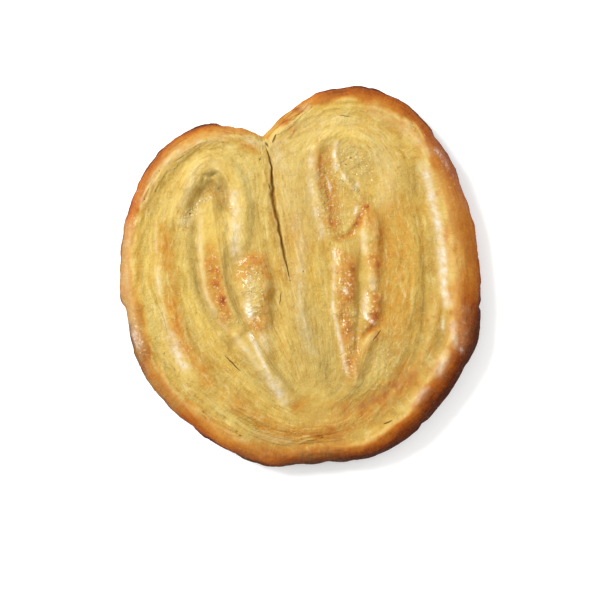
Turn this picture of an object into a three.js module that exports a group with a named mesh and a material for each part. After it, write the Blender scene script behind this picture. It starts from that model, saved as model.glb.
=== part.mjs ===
import * as THREE from 'three';

// A palmier: a sheet of puff pastry rolled from both edges to the middle, sliced, laid on its side and
// baked. It lies flat at z = 0, with the notch between its two lobes at +Y. All sizes in millimetres.

// The outline of each lobe, from the foot at the bottom up its side and over its top to the notch, and
// the share of the way where its top is reached.
const FOOT = [4.5, -53.6];
const NOTCH = [-10.9, 40.7];
const LEFT_EDGE = [FOOT, [-7.5, -54.9], [-19, -50.6], [-30.5, -43.5], [-40, -35.2], [-47, -24.5],
  [-50.2, -11], [-52, -1], [-51, 14], [-46.5, 28], [-38, 38.6], [-26.5, 44], [-18, 43.1], NOTCH];
const RIGHT_EDGE = [FOOT, [19.5, -52.1], [31.6, -45.6], [40.6, -36.3], [49.6, -22.7], [51.9, -11],
  [51.5, 6], [48.3, 23], [42, 37.5], [31, 50], [16, 55], [5, 53], [-4.5, 46.9], NOTCH];
const LEFT_TOP = 0.9;
const RIGHT_TOP = 0.83;

// Inside it, the seam where the two rolls meet, and the innermost fold of each roll.
const JOIN = [4, -36];
const SEAM = [NOTCH, [-8.3, 32], [-7.6, 22], [-5.6, 12], [-2.8, -1.5], [0, -14], [2.6, -26], JOIN];
const LEFT_CORE = [JOIN, [-3, -33.5], [-11, -25], [-19, -14], [-23.5, -2], [-26, 12], [-26, 22]];
const RIGHT_CORE = [JOIN, [11, -33.5], [15, -27], [16.5, -16], [17, -4], [16.6, 8],
  [15.5, 20], [15.8, 32]];

// A turn runs from -1 to 1: 0 is the foot, a half the top of a lobe, NOTCH_TURN the notch, 1 the join.
const NOTCH_TURN = 0.6;
const CORE_POWER = 1.4;
const CORNER_WINDOW = 0.16;
const CORNER_DEPTH = 0.35;

// Heights: the widest level of the side, the plain level inside, and the dip where the layers meet.
const WAIST = 5.6;
const LEVEL = 10.9;
const TUCK = 4.6;
const DIP = { at: [5, -37], depth: 1.3, reach: 11 };
// The rolled rim by turn: its crest's distance from the outline, its height, and the run of its fall.
const RIM = [
  [-0.60, 3.0, 12.0, 3.0],
  [-0.50, 4.6, 13.2, 3.6],
  [-0.30, 4.4, 13.1, 3.4],
  [-0.12, 4.2, 13.0, 3.4],
  [0.00, 3.2, 12.5, 3.0],
  [0.12, 5.4, 13.4, 5.0],
  [0.25, 7.4, 14.0, 8.4],
  [0.40, 6.4, 13.8, 6.4],
  [0.50, 5.0, 13.2, 4.6],
  [0.60, 3.0, 12.0, 3.0],
];
// The crack along the upper seam, deepest between its ends, as places along the seam.
const CRACK = { from: 0.08, to: 0.56, depth: 4.2 };

// Folds that stand up: height, half width, and the places their crest runs through.
const CRESTS = [
  { name: 'left arch', high: 2.1, half: 2.3,
    way: [[-33, 19], [-30.3, 30.5], [-25, 33.8], [-19.6, 26], [-17.6, 15], [-17.4, 8]] },
  { name: 'left blister', high: 2.6, half: 3.1, way: [[-14.3, 4], [-12.5, -5], [-11, -16]] },
  { name: 'blister tail', high: 1.3, half: 1.9, way: [[-10.6, -18], [-7.2, -26], [-3, -34]] },
  { name: 'left tongue', high: 2.3, half: 2.5,
    way: [[-26.7, 20], [-26, 6], [-22.5, -8], [-16.5, -19], [-9, -28.5]] },
  { name: 'left outer fold', high: 1.8, half: 2.7,
    way: [[-39.5, 16], [-37.7, -2], [-33.8, -18], [-26, -31], [-12, -39]] },
  { name: 'pool west lip', high: 1.3, half: 1.6, way: [[5.2, 36], [5, 28], [7, 17], [10, 9]] },
  { name: 'pool north lip', high: 1.1, half: 1.8, way: [[5.2, 36], [11, 40.3], [18, 39.3], [22.6, 34]] },
  { name: 'pool bright lip', high: 1.7, half: 1.5, way: [[9.6, 38], [11.4, 30], [15, 24.4], [19.3, 19.6]] },
  { name: 'coil end', high: 0.9, half: 3.2, way: [[15.4, 34.4], [16.6, 31.4]] },
  { name: 'right west tongue', high: 2.2, half: 2.3,
    way: [[12.3, 7.5], [13.1, -5], [13.5, -19], [15.3, -32]] },
  { name: 'right east tongue', high: 2.3, half: 2.3,
    way: [[18, 17], [20.6, 6], [21, -11], [17.8, -18.5], [16.4, -30]] },
  { name: 'right broad fold', high: 0.8, half: 3.2, way: [[33, 16], [33.2, 2], [31, -10]] },
  { name: 'right outer fold', high: 1.3, half: 2.2,
    way: [[39, -6], [36.8, -19], [31.6, -30], [18, -38.4]] },
  { name: 'middle fold', high: 0.9, half: 2.2, way: [[0.4, 10], [-0.2, -8], [3, -21], [5, -29]] },
  { name: 'foot fold', high: 1.2, half: 2.1, way: [[-20, -36.4], [-8, -42], [3, -43.8], [15, -41]] },
];
// Hollows between the folds, with a depth in place of the height.
const HOLLOWS = [
  { name: 'arch hollow', deep: 2.9, half: 2.5, way: [[-32, 16], [-29.3, 27], [-24.5, 29.4], [-21.9, 22]] },
  { name: 'left of tongue', deep: 1.8, half: 1.7,
    way: [[-30.6, 17], [-30, 0], [-22, -15.4], [-10.5, -29.5]] },
  { name: 'right of tongue', deep: 2, half: 1.7,
    way: [[-21.7, 18], [-20.4, 4], [-17.4, -10], [-13.5, -19]] },
  { name: 'beside blister', deep: 1.7, half: 1.6, way: [[-10.4, 9], [-8, -6], [-6.3, -22]] },
  { name: 'left gutter', deep: 1.1, half: 1.9,
    way: [[-38, 33.5], [-45, 12], [-43.8, -15], [-35, -32], [-18, -43.6]] },
  { name: 'pool floor', deep: 1.3, half: 2.6, way: [[8.2, 33], [9.4, 24], [13, 16.5]] },
  { name: 'pool foot', deep: 1.5, half: 1.2, way: [[19.6, 21], [15.6, 13.6], [9.6, 10.4]] },
  { name: 'between tongues', deep: 2.2, half: 1.5, way: [[16.6, 11], [17.2, -6], [15.5, -26]] },
  { name: 'right gutter', deep: 1.7, half: 2.7,
    way: [[32.6, 30], [36.2, 6], [34.8, -16], [28, -32.6], [13, -37.4]] },
  { name: 'inner foot', deep: 0.9, half: 1.6, way: [[8.5, -25], [12, -36], [25, -33.2], [32, -21]] },
  { name: 'foot pinch', deep: 0.9, half: 1.4, way: [[-14, -46.6], [-4, -49.3], [5, -48.4]] },
];

// The layers' edges, as a low ripple from fold to fold, and the fineness of the faceted form.
const RIPPLE = 0.2;
const WAVES = 21;
const STEPS = 40;
const EDGE_ROWS = [0, 0.45, 1.3, 2.6, 4.4];
const ROWS = 22;
const SIDE_RINGS = 3;

const PASTRY = new THREE.MeshStandardMaterial({ color: 0xd9ab5c, roughness: 0.5, metalness: 0 });

const mix = (a, b, t) => a + (b - a) * t;
const blend = (p, q, t) => [mix(p[0], q[0], t), mix(p[1], q[1], t)];
const distance = (p, q) => Math.hypot(p[0] - q[0], p[1] - q[1]);
const limit = (x) => Math.min(1, Math.max(0, x));
const ease = (x) => limit(x) ** 2 * (3 - 2 * limit(x));

// A smooth line through places, which is read off by the share of its length.
function lineThrough(places, fine = 160) {
  const last = places.length - 1;
  const before = blend(places[1], places[0], 2);
  const after = blend(places[last - 1], places[last], 2);
  const all = [before, ...places, after];
  const points = [];
  for (let k = 0; k <= fine; k++) {
    const s = (k / fine) * last;
    const i = Math.min(Math.floor(s), last - 1);
    const f = s - i;
    const [a, b, c, d] = all.slice(i, i + 4);
    const along = (n) => 0.5 * (2 * b[n] + (c[n] - a[n]) * f
      + (2 * a[n] - 5 * b[n] + 4 * c[n] - d[n]) * f * f
      + (3 * b[n] - a[n] - 3 * c[n] + d[n]) * f ** 3);
    points.push([along(0), along(1)]);
  }
  const run = [0];
  points.slice(1).forEach((p, k) => run.push(run[k] + distance(p, points[k])));
  const whole = run[fine];
  const at = (share) => {
    const target = limit(share) * whole;
    const k = Math.max(1, run.findIndex((r) => r >= target - 1e-9));
    return blend(points[k - 1], points[k], (target - run[k - 1]) / (run[k] - run[k - 1]));
  };
  return { points, at };
}

const seam = lineThrough(SEAM);
const left = { edge: lineThrough(LEFT_EDGE, 320), top: LEFT_TOP, core: lineThrough(LEFT_CORE) };
const right = { edge: lineThrough(RIGHT_EDGE, 320), top: RIGHT_TOP, core: lineThrough(RIGHT_CORE) };

// The outermost line of a lobe: up its side, over its top, then down the seam to the join.
function outer(turn) {
  const lobe = turn < 0 ? left : right;
  const t = Math.min(1, Math.abs(turn));
  if (t < 0.5) return lobe.edge.at(2 * t * lobe.top);
  if (t < NOTCH_TURN) return lobe.edge.at(mix(lobe.top, 1, (t - 0.5) / (NOTCH_TURN - 0.5)));
  return seam.at((t - NOTCH_TURN) / (1 - NOTCH_TURN));
}

// The innermost fold goes up to the middle of its roll and comes back along the same line.
function inner(turn) {
  const lobe = turn < 0 ? left : right;
  return lobe.core.at(1 - Math.abs(1 - 2 * Math.abs(turn)) ** CORE_POWER);
}

// Further in, the layers round off the corner that the outline has at the notch.
function rounded(turn) {
  const reach = CORNER_WINDOW * (1 - Math.abs(turn));
  const weights = [1, 3, 5, 6, 5, 3, 1];
  const total = 24;
  const sum = [0, 0];
  weights.forEach((w, k) => {
    const p = outer(turn + (reach * (k - 3)) / 3);
    sum[0] += (w * p[0]) / total;
    sum[1] += (w * p[1]) / total;
  });
  return sum;
}

// A place in the sheet: depth 0 lies on the outermost line and depth 1 on the innermost fold.
function layer(turn, depth) {
  const start = blend(outer(turn), rounded(turn), ease(depth / CORNER_DEPTH));
  return blend(start, inner(turn), depth);
}

// The nearest place on a line of points: how far off, and its share of the way along.
function nearest(p, points) {
  let best = { off: Infinity, share: 0 };
  for (let k = 1; k < points.length; k++) {
    const [a, b] = [points[k - 1], points[k]];
    const [dx, dy] = [b[0] - a[0], b[1] - a[1]];
    const t = limit(((p[0] - a[0]) * dx + (p[1] - a[1]) * dy) / (dx * dx + dy * dy));
    const off = Math.hypot(p[0] - a[0] - dx * t, p[1] - a[1] - dy * t);
    if (off < best.off) best = { off, share: (k - 1 + t) / (points.length - 1) };
  }
  return best;
}

const turnOf = (share) => mix(-NOTCH_TURN, NOTCH_TURN, share);
const rimColumns = Math.round(2 * STEPS * NOTCH_TURN);
const outline = Array.from({ length: 4 * rimColumns + 1 }, (_, k) => outer(turnOf(k / (4 * rimColumns))));
const folds = [
  ...CRESTS.map((fold) => ({ ...fold, rise: fold.high, points: lineThrough(fold.way, 24).points })),
  ...HOLLOWS.map((fold) => ({ ...fold, rise: -fold.deep, points: lineThrough(fold.way, 24).points })),
];

// The rim's measures at a turn, between the rows of its table.
function rimAt(turn) {
  const k = Math.min(RIM.length - 1, Math.max(1, RIM.findIndex((row) => row[0] >= turn)));
  const [a, b] = [RIM[k - 1], RIM[k]];
  const t = ease((turn - a[0]) / (b[0] - a[0]));
  return { reach: mix(a[1], b[1], t), crest: mix(a[2], b[2], t), fall: mix(a[3], b[3], t) };
}

// The top's height: a rounded rim that falls to the plain level inside, with folds and hollows on it.
function topHeight(p) {
  const edge = nearest(p, outline);
  const rim = rimAt(turnOf(edge.share));
  if (edge.off < 1e-6) return WAIST;
  const dip = DIP.depth * Math.exp(-((distance(p, DIP.at) / DIP.reach) ** 2));
  let plain = mix(rim.crest, LEVEL - dip, ease((edge.off - rim.reach) / rim.fall));
  for (const fold of folds) {
    const near = nearest(p, fold.points);
    const fade = 1 - 0.5 * Math.abs(2 * near.share - 1) ** 4;
    plain += fold.rise * fade * Math.exp(-0.7 * (near.off / fold.half) ** 2);
  }
  const over = limit(1 - edge.off / rim.reach);
  return mix(WAIST, plain, Math.sqrt(1 - over * over));
}

// The crack's depth at a turn on the seam.
function crackAt(turn) {
  const along = (Math.abs(turn) - NOTCH_TURN) / (1 - NOTCH_TURN);
  const share = (along - CRACK.from) / (CRACK.to - CRACK.from);
  if (share <= 0 || share >= 1) return 0;
  return CRACK.depth * Math.sin(Math.PI * share) ** 0.6;
}

// Depths of the rows at a turn: some at set distances from the outermost line, the rest spread evenly.
function rowDepth(turn, row) {
  const span = Math.max(1e-6, distance(outer(turn), inner(turn)));
  const set = (r) => Math.min(EDGE_ROWS[r] / span, r / ROWS);
  const last = EDGE_ROWS.length - 1;
  if (row <= last) return set(row);
  return mix(set(last), 1, (row - last) / (ROWS - last));
}

// The top sheet is a grid of turns and rows, whose every second row lies a little lower.
function topPoint(column, row) {
  const turn = column / (2 * STEPS);
  const depth = rowDepth(turn, row);
  const p = layer(turn, depth);
  const onRim = row < EDGE_ROWS.length && Math.abs(turn) <= NOTCH_TURN;
  const free = row > 0 && row < ROWS && !onRim;
  const pitch = distance(p, layer(turn, rowDepth(turn, row - 1)));
  const swell = Math.min(RIPPLE, 0.2 * pitch) * (1 + 0.6 * Math.sin(WAVES * turn + 1.7 * row));
  const ripple = free ? swell * (row % 2 ? -1 : 1) : 0;
  const split = row === 0 ? crackAt(turn) : 0;
  return [p[0], p[1], topHeight(p) + ripple - split];
}

// The side below the waist turns in to the flat base. Level 0 is the waist and 1 the base.
function sidePoint(column, level) {
  const around = (k) => outer((((k + 3 * rimColumns) % (2 * rimColumns)) - rimColumns) / (2 * STEPS));
  const [a, p, b] = [around(column - 1), around(column), around(column + 1)];
  const size = distance(a, b);
  const inward = [-(b[1] - a[1]) / size, (b[0] - a[0]) / size];
  const angle = (level * Math.PI) / 2;
  const inset = TUCK * (1 - Math.cos(angle));
  return [p[0] + inward[0] * inset, p[1] + inward[1] * inset, WAIST * (1 - Math.sin(angle))];
}

// Faces are gathered over corners that are named by their place, so that shared ones meet.
const corners = [];
const faces = [];
const known = new Map();
function corner(p) {
  const key = p.map((v) => Math.round(v * 1000)).join(' ');
  if (!known.has(key)) {
    known.set(key, corners.length);
    corners.push(p);
  }
  return known.get(key);
}
function face(a, b, c) {
  if (a !== b && b !== c && c !== a) faces.push(a, b, c);
}
function patch(grid) {
  for (let i = 1; i < grid.length; i++) {
    for (let j = 1; j < grid[i].length; j++) {
      const [a, b, c, d] = [grid[i - 1][j - 1], grid[i][j - 1], grid[i][j], grid[i - 1][j]];
      face(a, b, c);
      face(a, c, d);
    }
  }
}

const gridOf = (from, to, count, point) => {
  const grid = [];
  for (let i = from; i <= to; i++) {
    grid.push(Array.from({ length: count + 1 }, (_, j) => corner(point(i, j))));
  }
  return grid;
};

patch(gridOf(-2 * STEPS, 2 * STEPS, ROWS, topPoint));
const side = gridOf(-rimColumns, rimColumns, SIDE_RINGS, (i, j) => sidePoint(i, 1 - j / SIDE_RINGS));
patch(side);

const base = side.slice(1).map((ring) => ring[0]);
const flat = base.map((k) => new THREE.Vector2(corners[k][0], corners[k][1]));
for (const [a, b, c] of THREE.ShapeUtils.triangulateShape(flat, [])) {
  face(base[a], base[c], base[b]);
}

const geometry = new THREE.BufferGeometry();
geometry.setAttribute('position', new THREE.Float32BufferAttribute(corners.flat(), 3));
geometry.setIndex(faces);
geometry.computeVertexNormals();

const palmier = new THREE.Mesh(geometry, PASTRY);
palmier.name = 'palmier';

const part = new THREE.Group();
part.name = 'palmier_pastry';
part.add(palmier);

export default part;
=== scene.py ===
# %% [markdown]
# # A palmier
# A palmier is a sheet of puff pastry that is rolled up from both edges until the two rolls meet, sliced
# across, laid on its side and baked. So its top shows the edge of the sheet, wound in two nested lobes.
# The model of its solid is loaded first, as a fixed frame: all that follows lies in the same axes, in
# metres.

# %% Load the solid
import bpy
import numpy as np
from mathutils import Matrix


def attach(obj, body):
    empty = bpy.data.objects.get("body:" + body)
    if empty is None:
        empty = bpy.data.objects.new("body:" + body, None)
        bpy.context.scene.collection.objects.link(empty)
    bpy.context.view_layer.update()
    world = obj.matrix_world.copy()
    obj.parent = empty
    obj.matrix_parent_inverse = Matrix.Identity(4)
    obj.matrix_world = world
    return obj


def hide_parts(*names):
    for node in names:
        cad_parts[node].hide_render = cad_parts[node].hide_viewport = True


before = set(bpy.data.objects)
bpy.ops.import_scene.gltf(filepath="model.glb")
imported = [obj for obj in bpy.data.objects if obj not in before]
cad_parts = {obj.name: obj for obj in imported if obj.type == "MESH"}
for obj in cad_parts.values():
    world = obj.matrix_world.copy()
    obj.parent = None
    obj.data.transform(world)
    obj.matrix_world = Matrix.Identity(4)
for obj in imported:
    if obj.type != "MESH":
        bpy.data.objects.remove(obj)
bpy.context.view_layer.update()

# %% [markdown]
# ## The rolled sheet in plan
# The whole pastry can be drawn from a few lines: the outline of each lobe, the seam where the lobes
# touch, and the innermost fold of each roll. Each line needs only the places that its shape turns at.
# A smooth curve through them, read off by its length, gives the rest. The sizes are in millimetres,
# because a baker thinks in them, and are turned into metres when the mesh is made.

# %% Lines of the sheet
MM = 0.001
FOOT = (4.5, -53.6)
NOTCH = (-10.9, 40.7)
JOIN = (4, -36)
LEFT_EDGE = [FOOT, (-7.5, -54.9), (-19, -50.6), (-30.5, -43.5), (-40, -35.2), (-47, -24.5), (-50.2, -11),
             (-52, -1), (-51, 14), (-46.5, 28), (-38, 38.6), (-26.5, 44), (-18, 43.1), NOTCH]
RIGHT_EDGE = [FOOT, (19.5, -52.1), (31.6, -45.6), (40.6, -36.3), (49.6, -22.7), (51.9, -11), (51.5, 6),
              (48.3, 23), (42, 37.5), (31, 50), (16, 55), (5, 53), (-4.5, 46.9), NOTCH]
SEAM = [NOTCH, (-8.3, 32), (-7.6, 22), (-5.6, 12), (-2.8, -1.5), (0, -14), (2.6, -26), JOIN]
LEFT_CORE = [JOIN, (-3, -33.5), (-11, -25), (-19, -14), (-23.5, -2), (-26, 12), (-26, 22)]
RIGHT_CORE = [JOIN, (11, -33.5), (15, -27), (16.5, -16), (17, -4), (16.6, 8), (15.5, 20), (15.8, 32)]


def ease(x):
    """Rises smoothly from 0 to 1: three squares less two cubes."""
    x = np.clip(x, 0, 1)
    return x * x * (3 - 2 * x)


def mix(a, b, t):
    """The value a share t of the way from a to b."""
    return a + (b - a) * t


class Line:
    """A Catmull-Rom curve through places: a cubic on each stretch, whose slope at a place is half the way
    between its neighbours. Calling it gives the places at shares of its length."""

    def __init__(self, places, fine=320):
        p = np.array(places, float)
        p = np.vstack([2 * p[0] - p[1], p, 2 * p[-1] - p[-2]])
        s = np.linspace(0, len(places) - 1, fine + 1)
        i = np.minimum(s.astype(int), len(places) - 2)
        f = (s - i)[:, None]
        a, b, c, d = p[i], p[i + 1], p[i + 2], p[i + 3]
        self.points = b + 0.5 * ((c - a) * f + (2 * a - 5 * b + 4 * c - d) * f**2
                                 + (3 * b - a - 3 * c + d) * f**3)
        run = np.r_[0, np.cumsum(np.hypot(*np.diff(self.points, axis=0).T))]
        self.length, self.run = run[-1], run / run[-1]

    def __call__(self, share):
        return np.stack([np.interp(share, self.run, self.points[:, k]) for k in (0, 1)], -1)


seam = Line(SEAM)
# of each lobe: its edge, the share of that edge where its top is, its innermost fold
lobes = {"left": (Line(LEFT_EDGE), 0.90, Line(LEFT_CORE)),
         "right": (Line(RIGHT_EDGE), 0.83, Line(RIGHT_CORE))}
print("way round", round(sum(edge.length for edge, _, _ in lobes.values())), "mm")

# %% [markdown]
# ## Turn and depth
# A place in the sheet has two parameters. The turn runs from -1 to 1: 0 is the foot, plus or minus a
# half the top of a lobe, 0.6 the notch, and from there the seam runs down to 1, the join. The depth runs
# from 0 on the outermost line to 1 on the innermost fold. Lines of equal depth are the layers of the
# pastry. Near the notch the layers round off the corner, so there the outermost line is averaged over
# a short window before it is mixed with the fold.

# %% Plan of the sheet
# turn of the notch
NOTCH_TURN = 0.6
# how the places bunch up along the innermost fold
CORE_POWER = 1.4
# window, depth and weights of the rounding by the notch
CORNER_WINDOW = 0.16
CORNER_DEPTH = 0.35
CORNER_WEIGHTS = np.array([1, 3, 5, 6, 5, 3, 1]) / 24


def by_lobe(turn, make):
    """One function for both lobes, used on the left where the turn is negative."""
    left, right = make(*lobes["left"]), make(*lobes["right"])
    return np.where((turn < 0)[..., None], left, right)


def outer(turn):
    """Up the side of a lobe until a turn of a half, over its top to the notch, then down the seam."""
    t = np.minimum(np.abs(turn), 1)
    over = np.clip((t - 0.5) / (NOTCH_TURN - 0.5), 0, 1)
    down = seam(np.clip((t - NOTCH_TURN) / (1 - NOTCH_TURN), 0, 1))
    up = by_lobe(turn, lambda edge, top, core: edge(np.where(t < 0.5, 2 * t * top, mix(top, 1, over))))
    return np.where((t < NOTCH_TURN)[..., None], up, down)


def core_share(turn):
    """How far up the innermost fold: 0 at the join, 1 at its tip, as one less a power of the way to it."""
    return 1 - np.abs(1 - 2 * np.abs(turn)) ** CORE_POWER


def inner(turn):
    """A place on the innermost fold: both sides of it have the same places."""
    return by_lobe(turn, lambda edge, top, core: core(core_share(turn)))


def plan(turn, depth):
    """A place in mm: the outermost line, rounded with depth, mixed by depth with the innermost fold."""
    reach = CORNER_WINDOW * (1 - np.abs(turn))
    soft = sum(w * outer(turn + reach * k / 3) for w, k in zip(CORNER_WEIGHTS, range(-3, 4)))
    start = mix(outer(turn), soft, ease(depth / CORNER_DEPTH)[..., None])
    return mix(start, inner(turn), depth[..., None])


print("foot", plan(np.zeros(1), np.zeros(1))[0], "mm")

# %% [markdown]
# ## Rim, folds and hollows
# In the oven the layers puff up unevenly. The outside stays a smooth, rounded roll, which is narrow on the
# left and broad on the right. Inside it some folds stand up as ridges and tongues, and sink between them.
# Each is a line with a height and a half width. Its section is a bell curve of the distance to the line.

# %% Relief of the top
# height of the widest line, height of the plain top, and how far in the underside is rolled
WAIST = 5.6
LEVEL = 10.9
TUCK = 4.6
# middle, depth and half width of the dip by the join
DIP = ((5, -37), 1.3, 11)
# turn, distance of the crest from the outline, its height, run of the fall behind it
RIM = np.array([
    (-0.60, 3.0, 11.2, 4.0), (-0.50, 4.4, 12.2, 4.0), (-0.30, 4.2, 12.0, 4.4), (-0.12, 4.0, 12.2, 4.0),
    (0.00, 3.2, 12.2, 3.0), (0.10, 5.0, 13.0, 4.4), (0.17, 6.6, 13.7, 4.8), (0.27, 7.2, 13.9, 4.8),
    (0.37, 6.4, 13.6, 4.8), (0.44, 5.2, 12.9, 5.4), (0.50, 4.6, 12.3, 4.6), (0.56, 3.6, 11.4, 5.0),
    (0.60, 3.0, 11.0, 4.0)])
# height, or depth where negative, half width, crispness of the shoulders, and the way of each fold
FOLDS = {
    "left arch": (1.75, 2.8, 4, [
        (-35, 17.4), (-33, 22.6), (-30.7, 27.5), (-28.2, 31.3), (-25.2, 32.8), (-21.8, 31.4), (-19, 28),
        (-17.6, 23), (-17.2, 17), (-17.4, 12), (-17.8, 8)]),
    "left blister": (2.2, 4.1, 5, [(-13.2, 1.4), (-12.8, -5), (-12.4, -11.2)]),
    "blister tail": (1.4, 2.1, 2.5, [(-12, -17), (-8.6, -26), (-3, -34.6)]),
    "left tongue": (1.9, 3.5, 7, [(-24.9, 17.6), (-25.1, 8), (-25, 0), (-23, -8), (-19.6, -14.6)]),
    "tongue tail": (1.4, 2.2, 2.5, [(-18, -17.4), (-13, -24), (-7, -31)]),
    "left outer fold": (1.6, 2.8, 2.5, [
        (-39, 15), (-37.7, -2), (-34.6, -15), (-28.6, -28), (-20, -35), (-12, -39)]),
    "pool west lip": (0.8, 1.3, 2, [(4.6, 36.4), (4.4, 30), (5.4, 24), (7, 17), (9.4, 11.4)]),
    "pool north lip": (0.8, 1.7, 2, [(4.6, 36.4), (7.5, 40), (12.5, 40.8), (18, 39.3), (22.6, 34)]),
    "pool bright lip": (1.0, 1.0, 2, [(10.2, 38), (10.4, 33.4), (12.6, 29), (15.4, 24.6), (18.6, 20.6)]),
    "coil end": (0.4, 4.8, 3, [(15.6, 34.4), (17, 32)]),
    "coil ring": (0.22, 0.8, 2, [
        (11.4, 33), (12.8, 36.8), (16.4, 37.8), (19.6, 35.6), (19.6, 31.4), (16.4, 28.8)]),
    "right west tongue": (1.8, 3.0, 5, [(13.1, 5), (13.1, -4), (12.9, -12)]),
    "west tongue tail": (1.4, 1.9, 3, [(13.3, -15), (14, -22), (15.2, -30)]),
    "right east tongue": (1.9, 2.7, 4, [(19.8, 18), (20.6, 10), (20.8, 5)]),
    "east tongue neck": (1.6, 2.0, 3, [(20.8, 3), (21, -2)]),
    "east tongue head": (1.9, 2.5, 4, [(20.8, -5), (20.9, -11.2)]),
    "east tongue tail": (1.3, 1.6, 2.5, [(21, -16), (19, -19.8), (17.2, -25), (16.6, -30)]),
    "right broad fold": (0.8, 3.2, 2, [(33, 16), (33.2, 2), (31, -10)]),
    "right outer fold": (1.2, 2.2, 2, [(39, -6), (36.8, -19), (31.6, -30), (18, -38.4)]),
    "middle fold": (0.8, 2.2, 2, [(0.4, 10), (-0.2, -8), (3, -21), (5, -29)]),
    "middle blister": (0.7, 1.7, 2, [(4.6, 3.4), (4.6, -3)]),
    "foot fold": (1.2, 2.1, 2, [(-20, -36.4), (-8, -42), (3, -43.8), (15, -41)]),
    "arch hollow": (-1.2, 1.6, 2.5, [(-31.8, 18.2), (-29.8, 21.8), (-28, 24.2), (-26.6, 25.6)]),
    "arch hollow head": (-1.2, 1.8, 2.5, [(-24, 25.4), (-22.4, 23.4), (-21.6, 20.6), (-21.4, 17)]),
    "arch crease": (-0.6, 0.5, 2, [
        (-27.8, 27), (-27.5, 28.9), (-25.4, 29.1), (-23.2, 29.5), (-21.9, 27.4), (-21, 24.6)]),
    "left of tongue": (-1.0, 1.3, 2, [(-30.6, 15), (-30, 0), (-27, -8), (-20, -18.6), (-11, -30)]),
    "beside tongue": (0.7, 1.4, 2, [(-20.8, 12), (-20.4, 4), (-20, -4), (-18.6, -10)]),
    "beside blister": (-0.8, 1.5, 2, [(-9, 9), (-7.2, -6), (-6.3, -22)]),
    "left gutter": (-0.3, 1.9, 2, [(-38, 33.5), (-45, 12), (-43.8, -15), (-35, -32), (-18, -43.6)]),
    "pool floor": (-0.7, 2.4, 2.5, [(7.4, 35), (8.4, 26), (12.6, 17)]),
    "pool foot": (-0.6, 0.8, 2, [(19.4, 20.4), (17.5, 17.6), (16.1, 14.6), (14.4, 12.4), (11, 10.8)]),
    "east crease": (-1.0, 0.6, 2, [(22.6, -14), (20.6, -14.8), (19.1, -15.9), (18.1, -17.6)]),
    "between tongues": (-0.3, 0.5, 2, [(17.3, 9), (17.2, 1), (17, -9), (16.2, -22)]),
    "right gutter": (-1.1, 2.5, 2, [(32.6, 30), (36.2, 6), (34.8, -16), (28, -32.6), (13, -37.4)]),
    "gutter line": (-0.45, 0.6, 2, [(35.2, 12), (35.8, 0), (35.6, -10), (34, -20.5), (31.6, -27)]),
    "inner foot": (-0.6, 1.6, 2, [(8.5, -25), (12, -36), (25, -33.2), (32, -21)]),
    "foot pinch": (-0.5, 1.4, 2, [(-14, -46.6), (-4, -49.3), (5, -48.4)]),
}
print("folds and hollows", len(FOLDS))

# %% [markdown]
# ## Noise and strokes
# Two helpers shape everything that follows. The first is noise: random numbers on a lattice, and smooth
# between, since no crust is even. The second is a stroke: how near each place is to a drawn line. It could
# be done with brushes and a mouse, but a table of lines can be read, measured and changed.

# %% Noise and strokes
LATTICE = 256


def grain(u, v, seed):
    """Value noise from -1 to 1: random numbers on a lattice, mixed by the eased rest of u and v."""
    numbers = np.random.default_rng(seed).uniform(-1, 1, (LATTICE, LATTICE))
    i, j = np.floor(u).astype(int), np.floor(v).astype(int)
    f, g = ease(u - i), ease(v - j)
    i, j, next_i, next_j = i % LATTICE, j % LATTICE, (i + 1) % LATTICE, (j + 1) % LATTICE
    first = mix(numbers[i, j], numbers[next_i, j], f)
    second = mix(numbers[i, next_j], numbers[next_i, next_j], f)
    return mix(first, second, g)


def nearest(p, points):
    """The distance from each place to a line of points, and the share of the way along where it is."""
    off, share = np.full(p.shape[:-1], np.inf), np.zeros(p.shape[:-1])
    for k, (a, b) in enumerate(zip(points[:-1], points[1:])):
        t = np.clip((p - a) @ (b - a) / np.dot(b - a, b - a), 0, 1)
        gap = np.hypot(*np.moveaxis(p - a - t[..., None] * (b - a), -1, 0))
        closer = gap < off
        off, share = np.where(closer, gap, off), np.where(closer, (k + t) / (len(points) - 1), share)
    return off, share


def stroke(p, half, way, fade=0.5, crisp=2, uneven=0):
    """A bell across a line, exp(-0.7 (distance / half)^crisp), a little lower towards the line's ends, and
    uneven along it. It is worked out only near the line, as it is gone at three half widths."""
    line = Line(way, 24)
    near = ((p > line.points.min(0) - 3 * half) & (p < line.points.max(0) + 3 * half)).all(-1)
    bell = np.zeros(p.shape[:-1])
    off, share = nearest(p[near], line.points)
    lump = uneven * grain(share * line.length / 4, 17 * half + 0 * share, 18)
    wide, ends = 1 + lump, 1 - fade * np.abs(2 * share - 1) ** 4
    bell[near] = np.exp(-0.7 * (off / (half * wide)) ** crisp) * ends * wide
    return bell


def table(rows, turn):
    """The columns of a table whose first column is a turn, with an eased way from row to row."""
    k = np.clip(np.searchsorted(rows[:, 0], turn), 1, len(rows) - 1)
    t = ease((turn - rows[k - 1, 0]) / (rows[k, 0] - rows[k - 1, 0]))
    return [mix(rows[k - 1, c], rows[k, c], t) for c in range(1, rows.shape[1])]


print("widest noise value", round(float(np.abs(grain(*np.mgrid[0:9:0.1, 0:9:0.1], 1)).max()), 2))

# %% [markdown]
# ## Height of the top
# The rim's table and the strokes of the folds are put together here. Close to the outline the height falls
# as a quarter of an ellipse, because the dough swelled freely there and skin pulls a free edge round.

# %% Height of the top
outline = outer(np.linspace(-NOTCH_TURN, NOTCH_TURN, 481))


def rim_place(p):
    """Distance from the outline and the turn there."""
    off, share = nearest(p, outline)
    return off, mix(-NOTCH_TURN, NOTCH_TURN, share)


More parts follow.
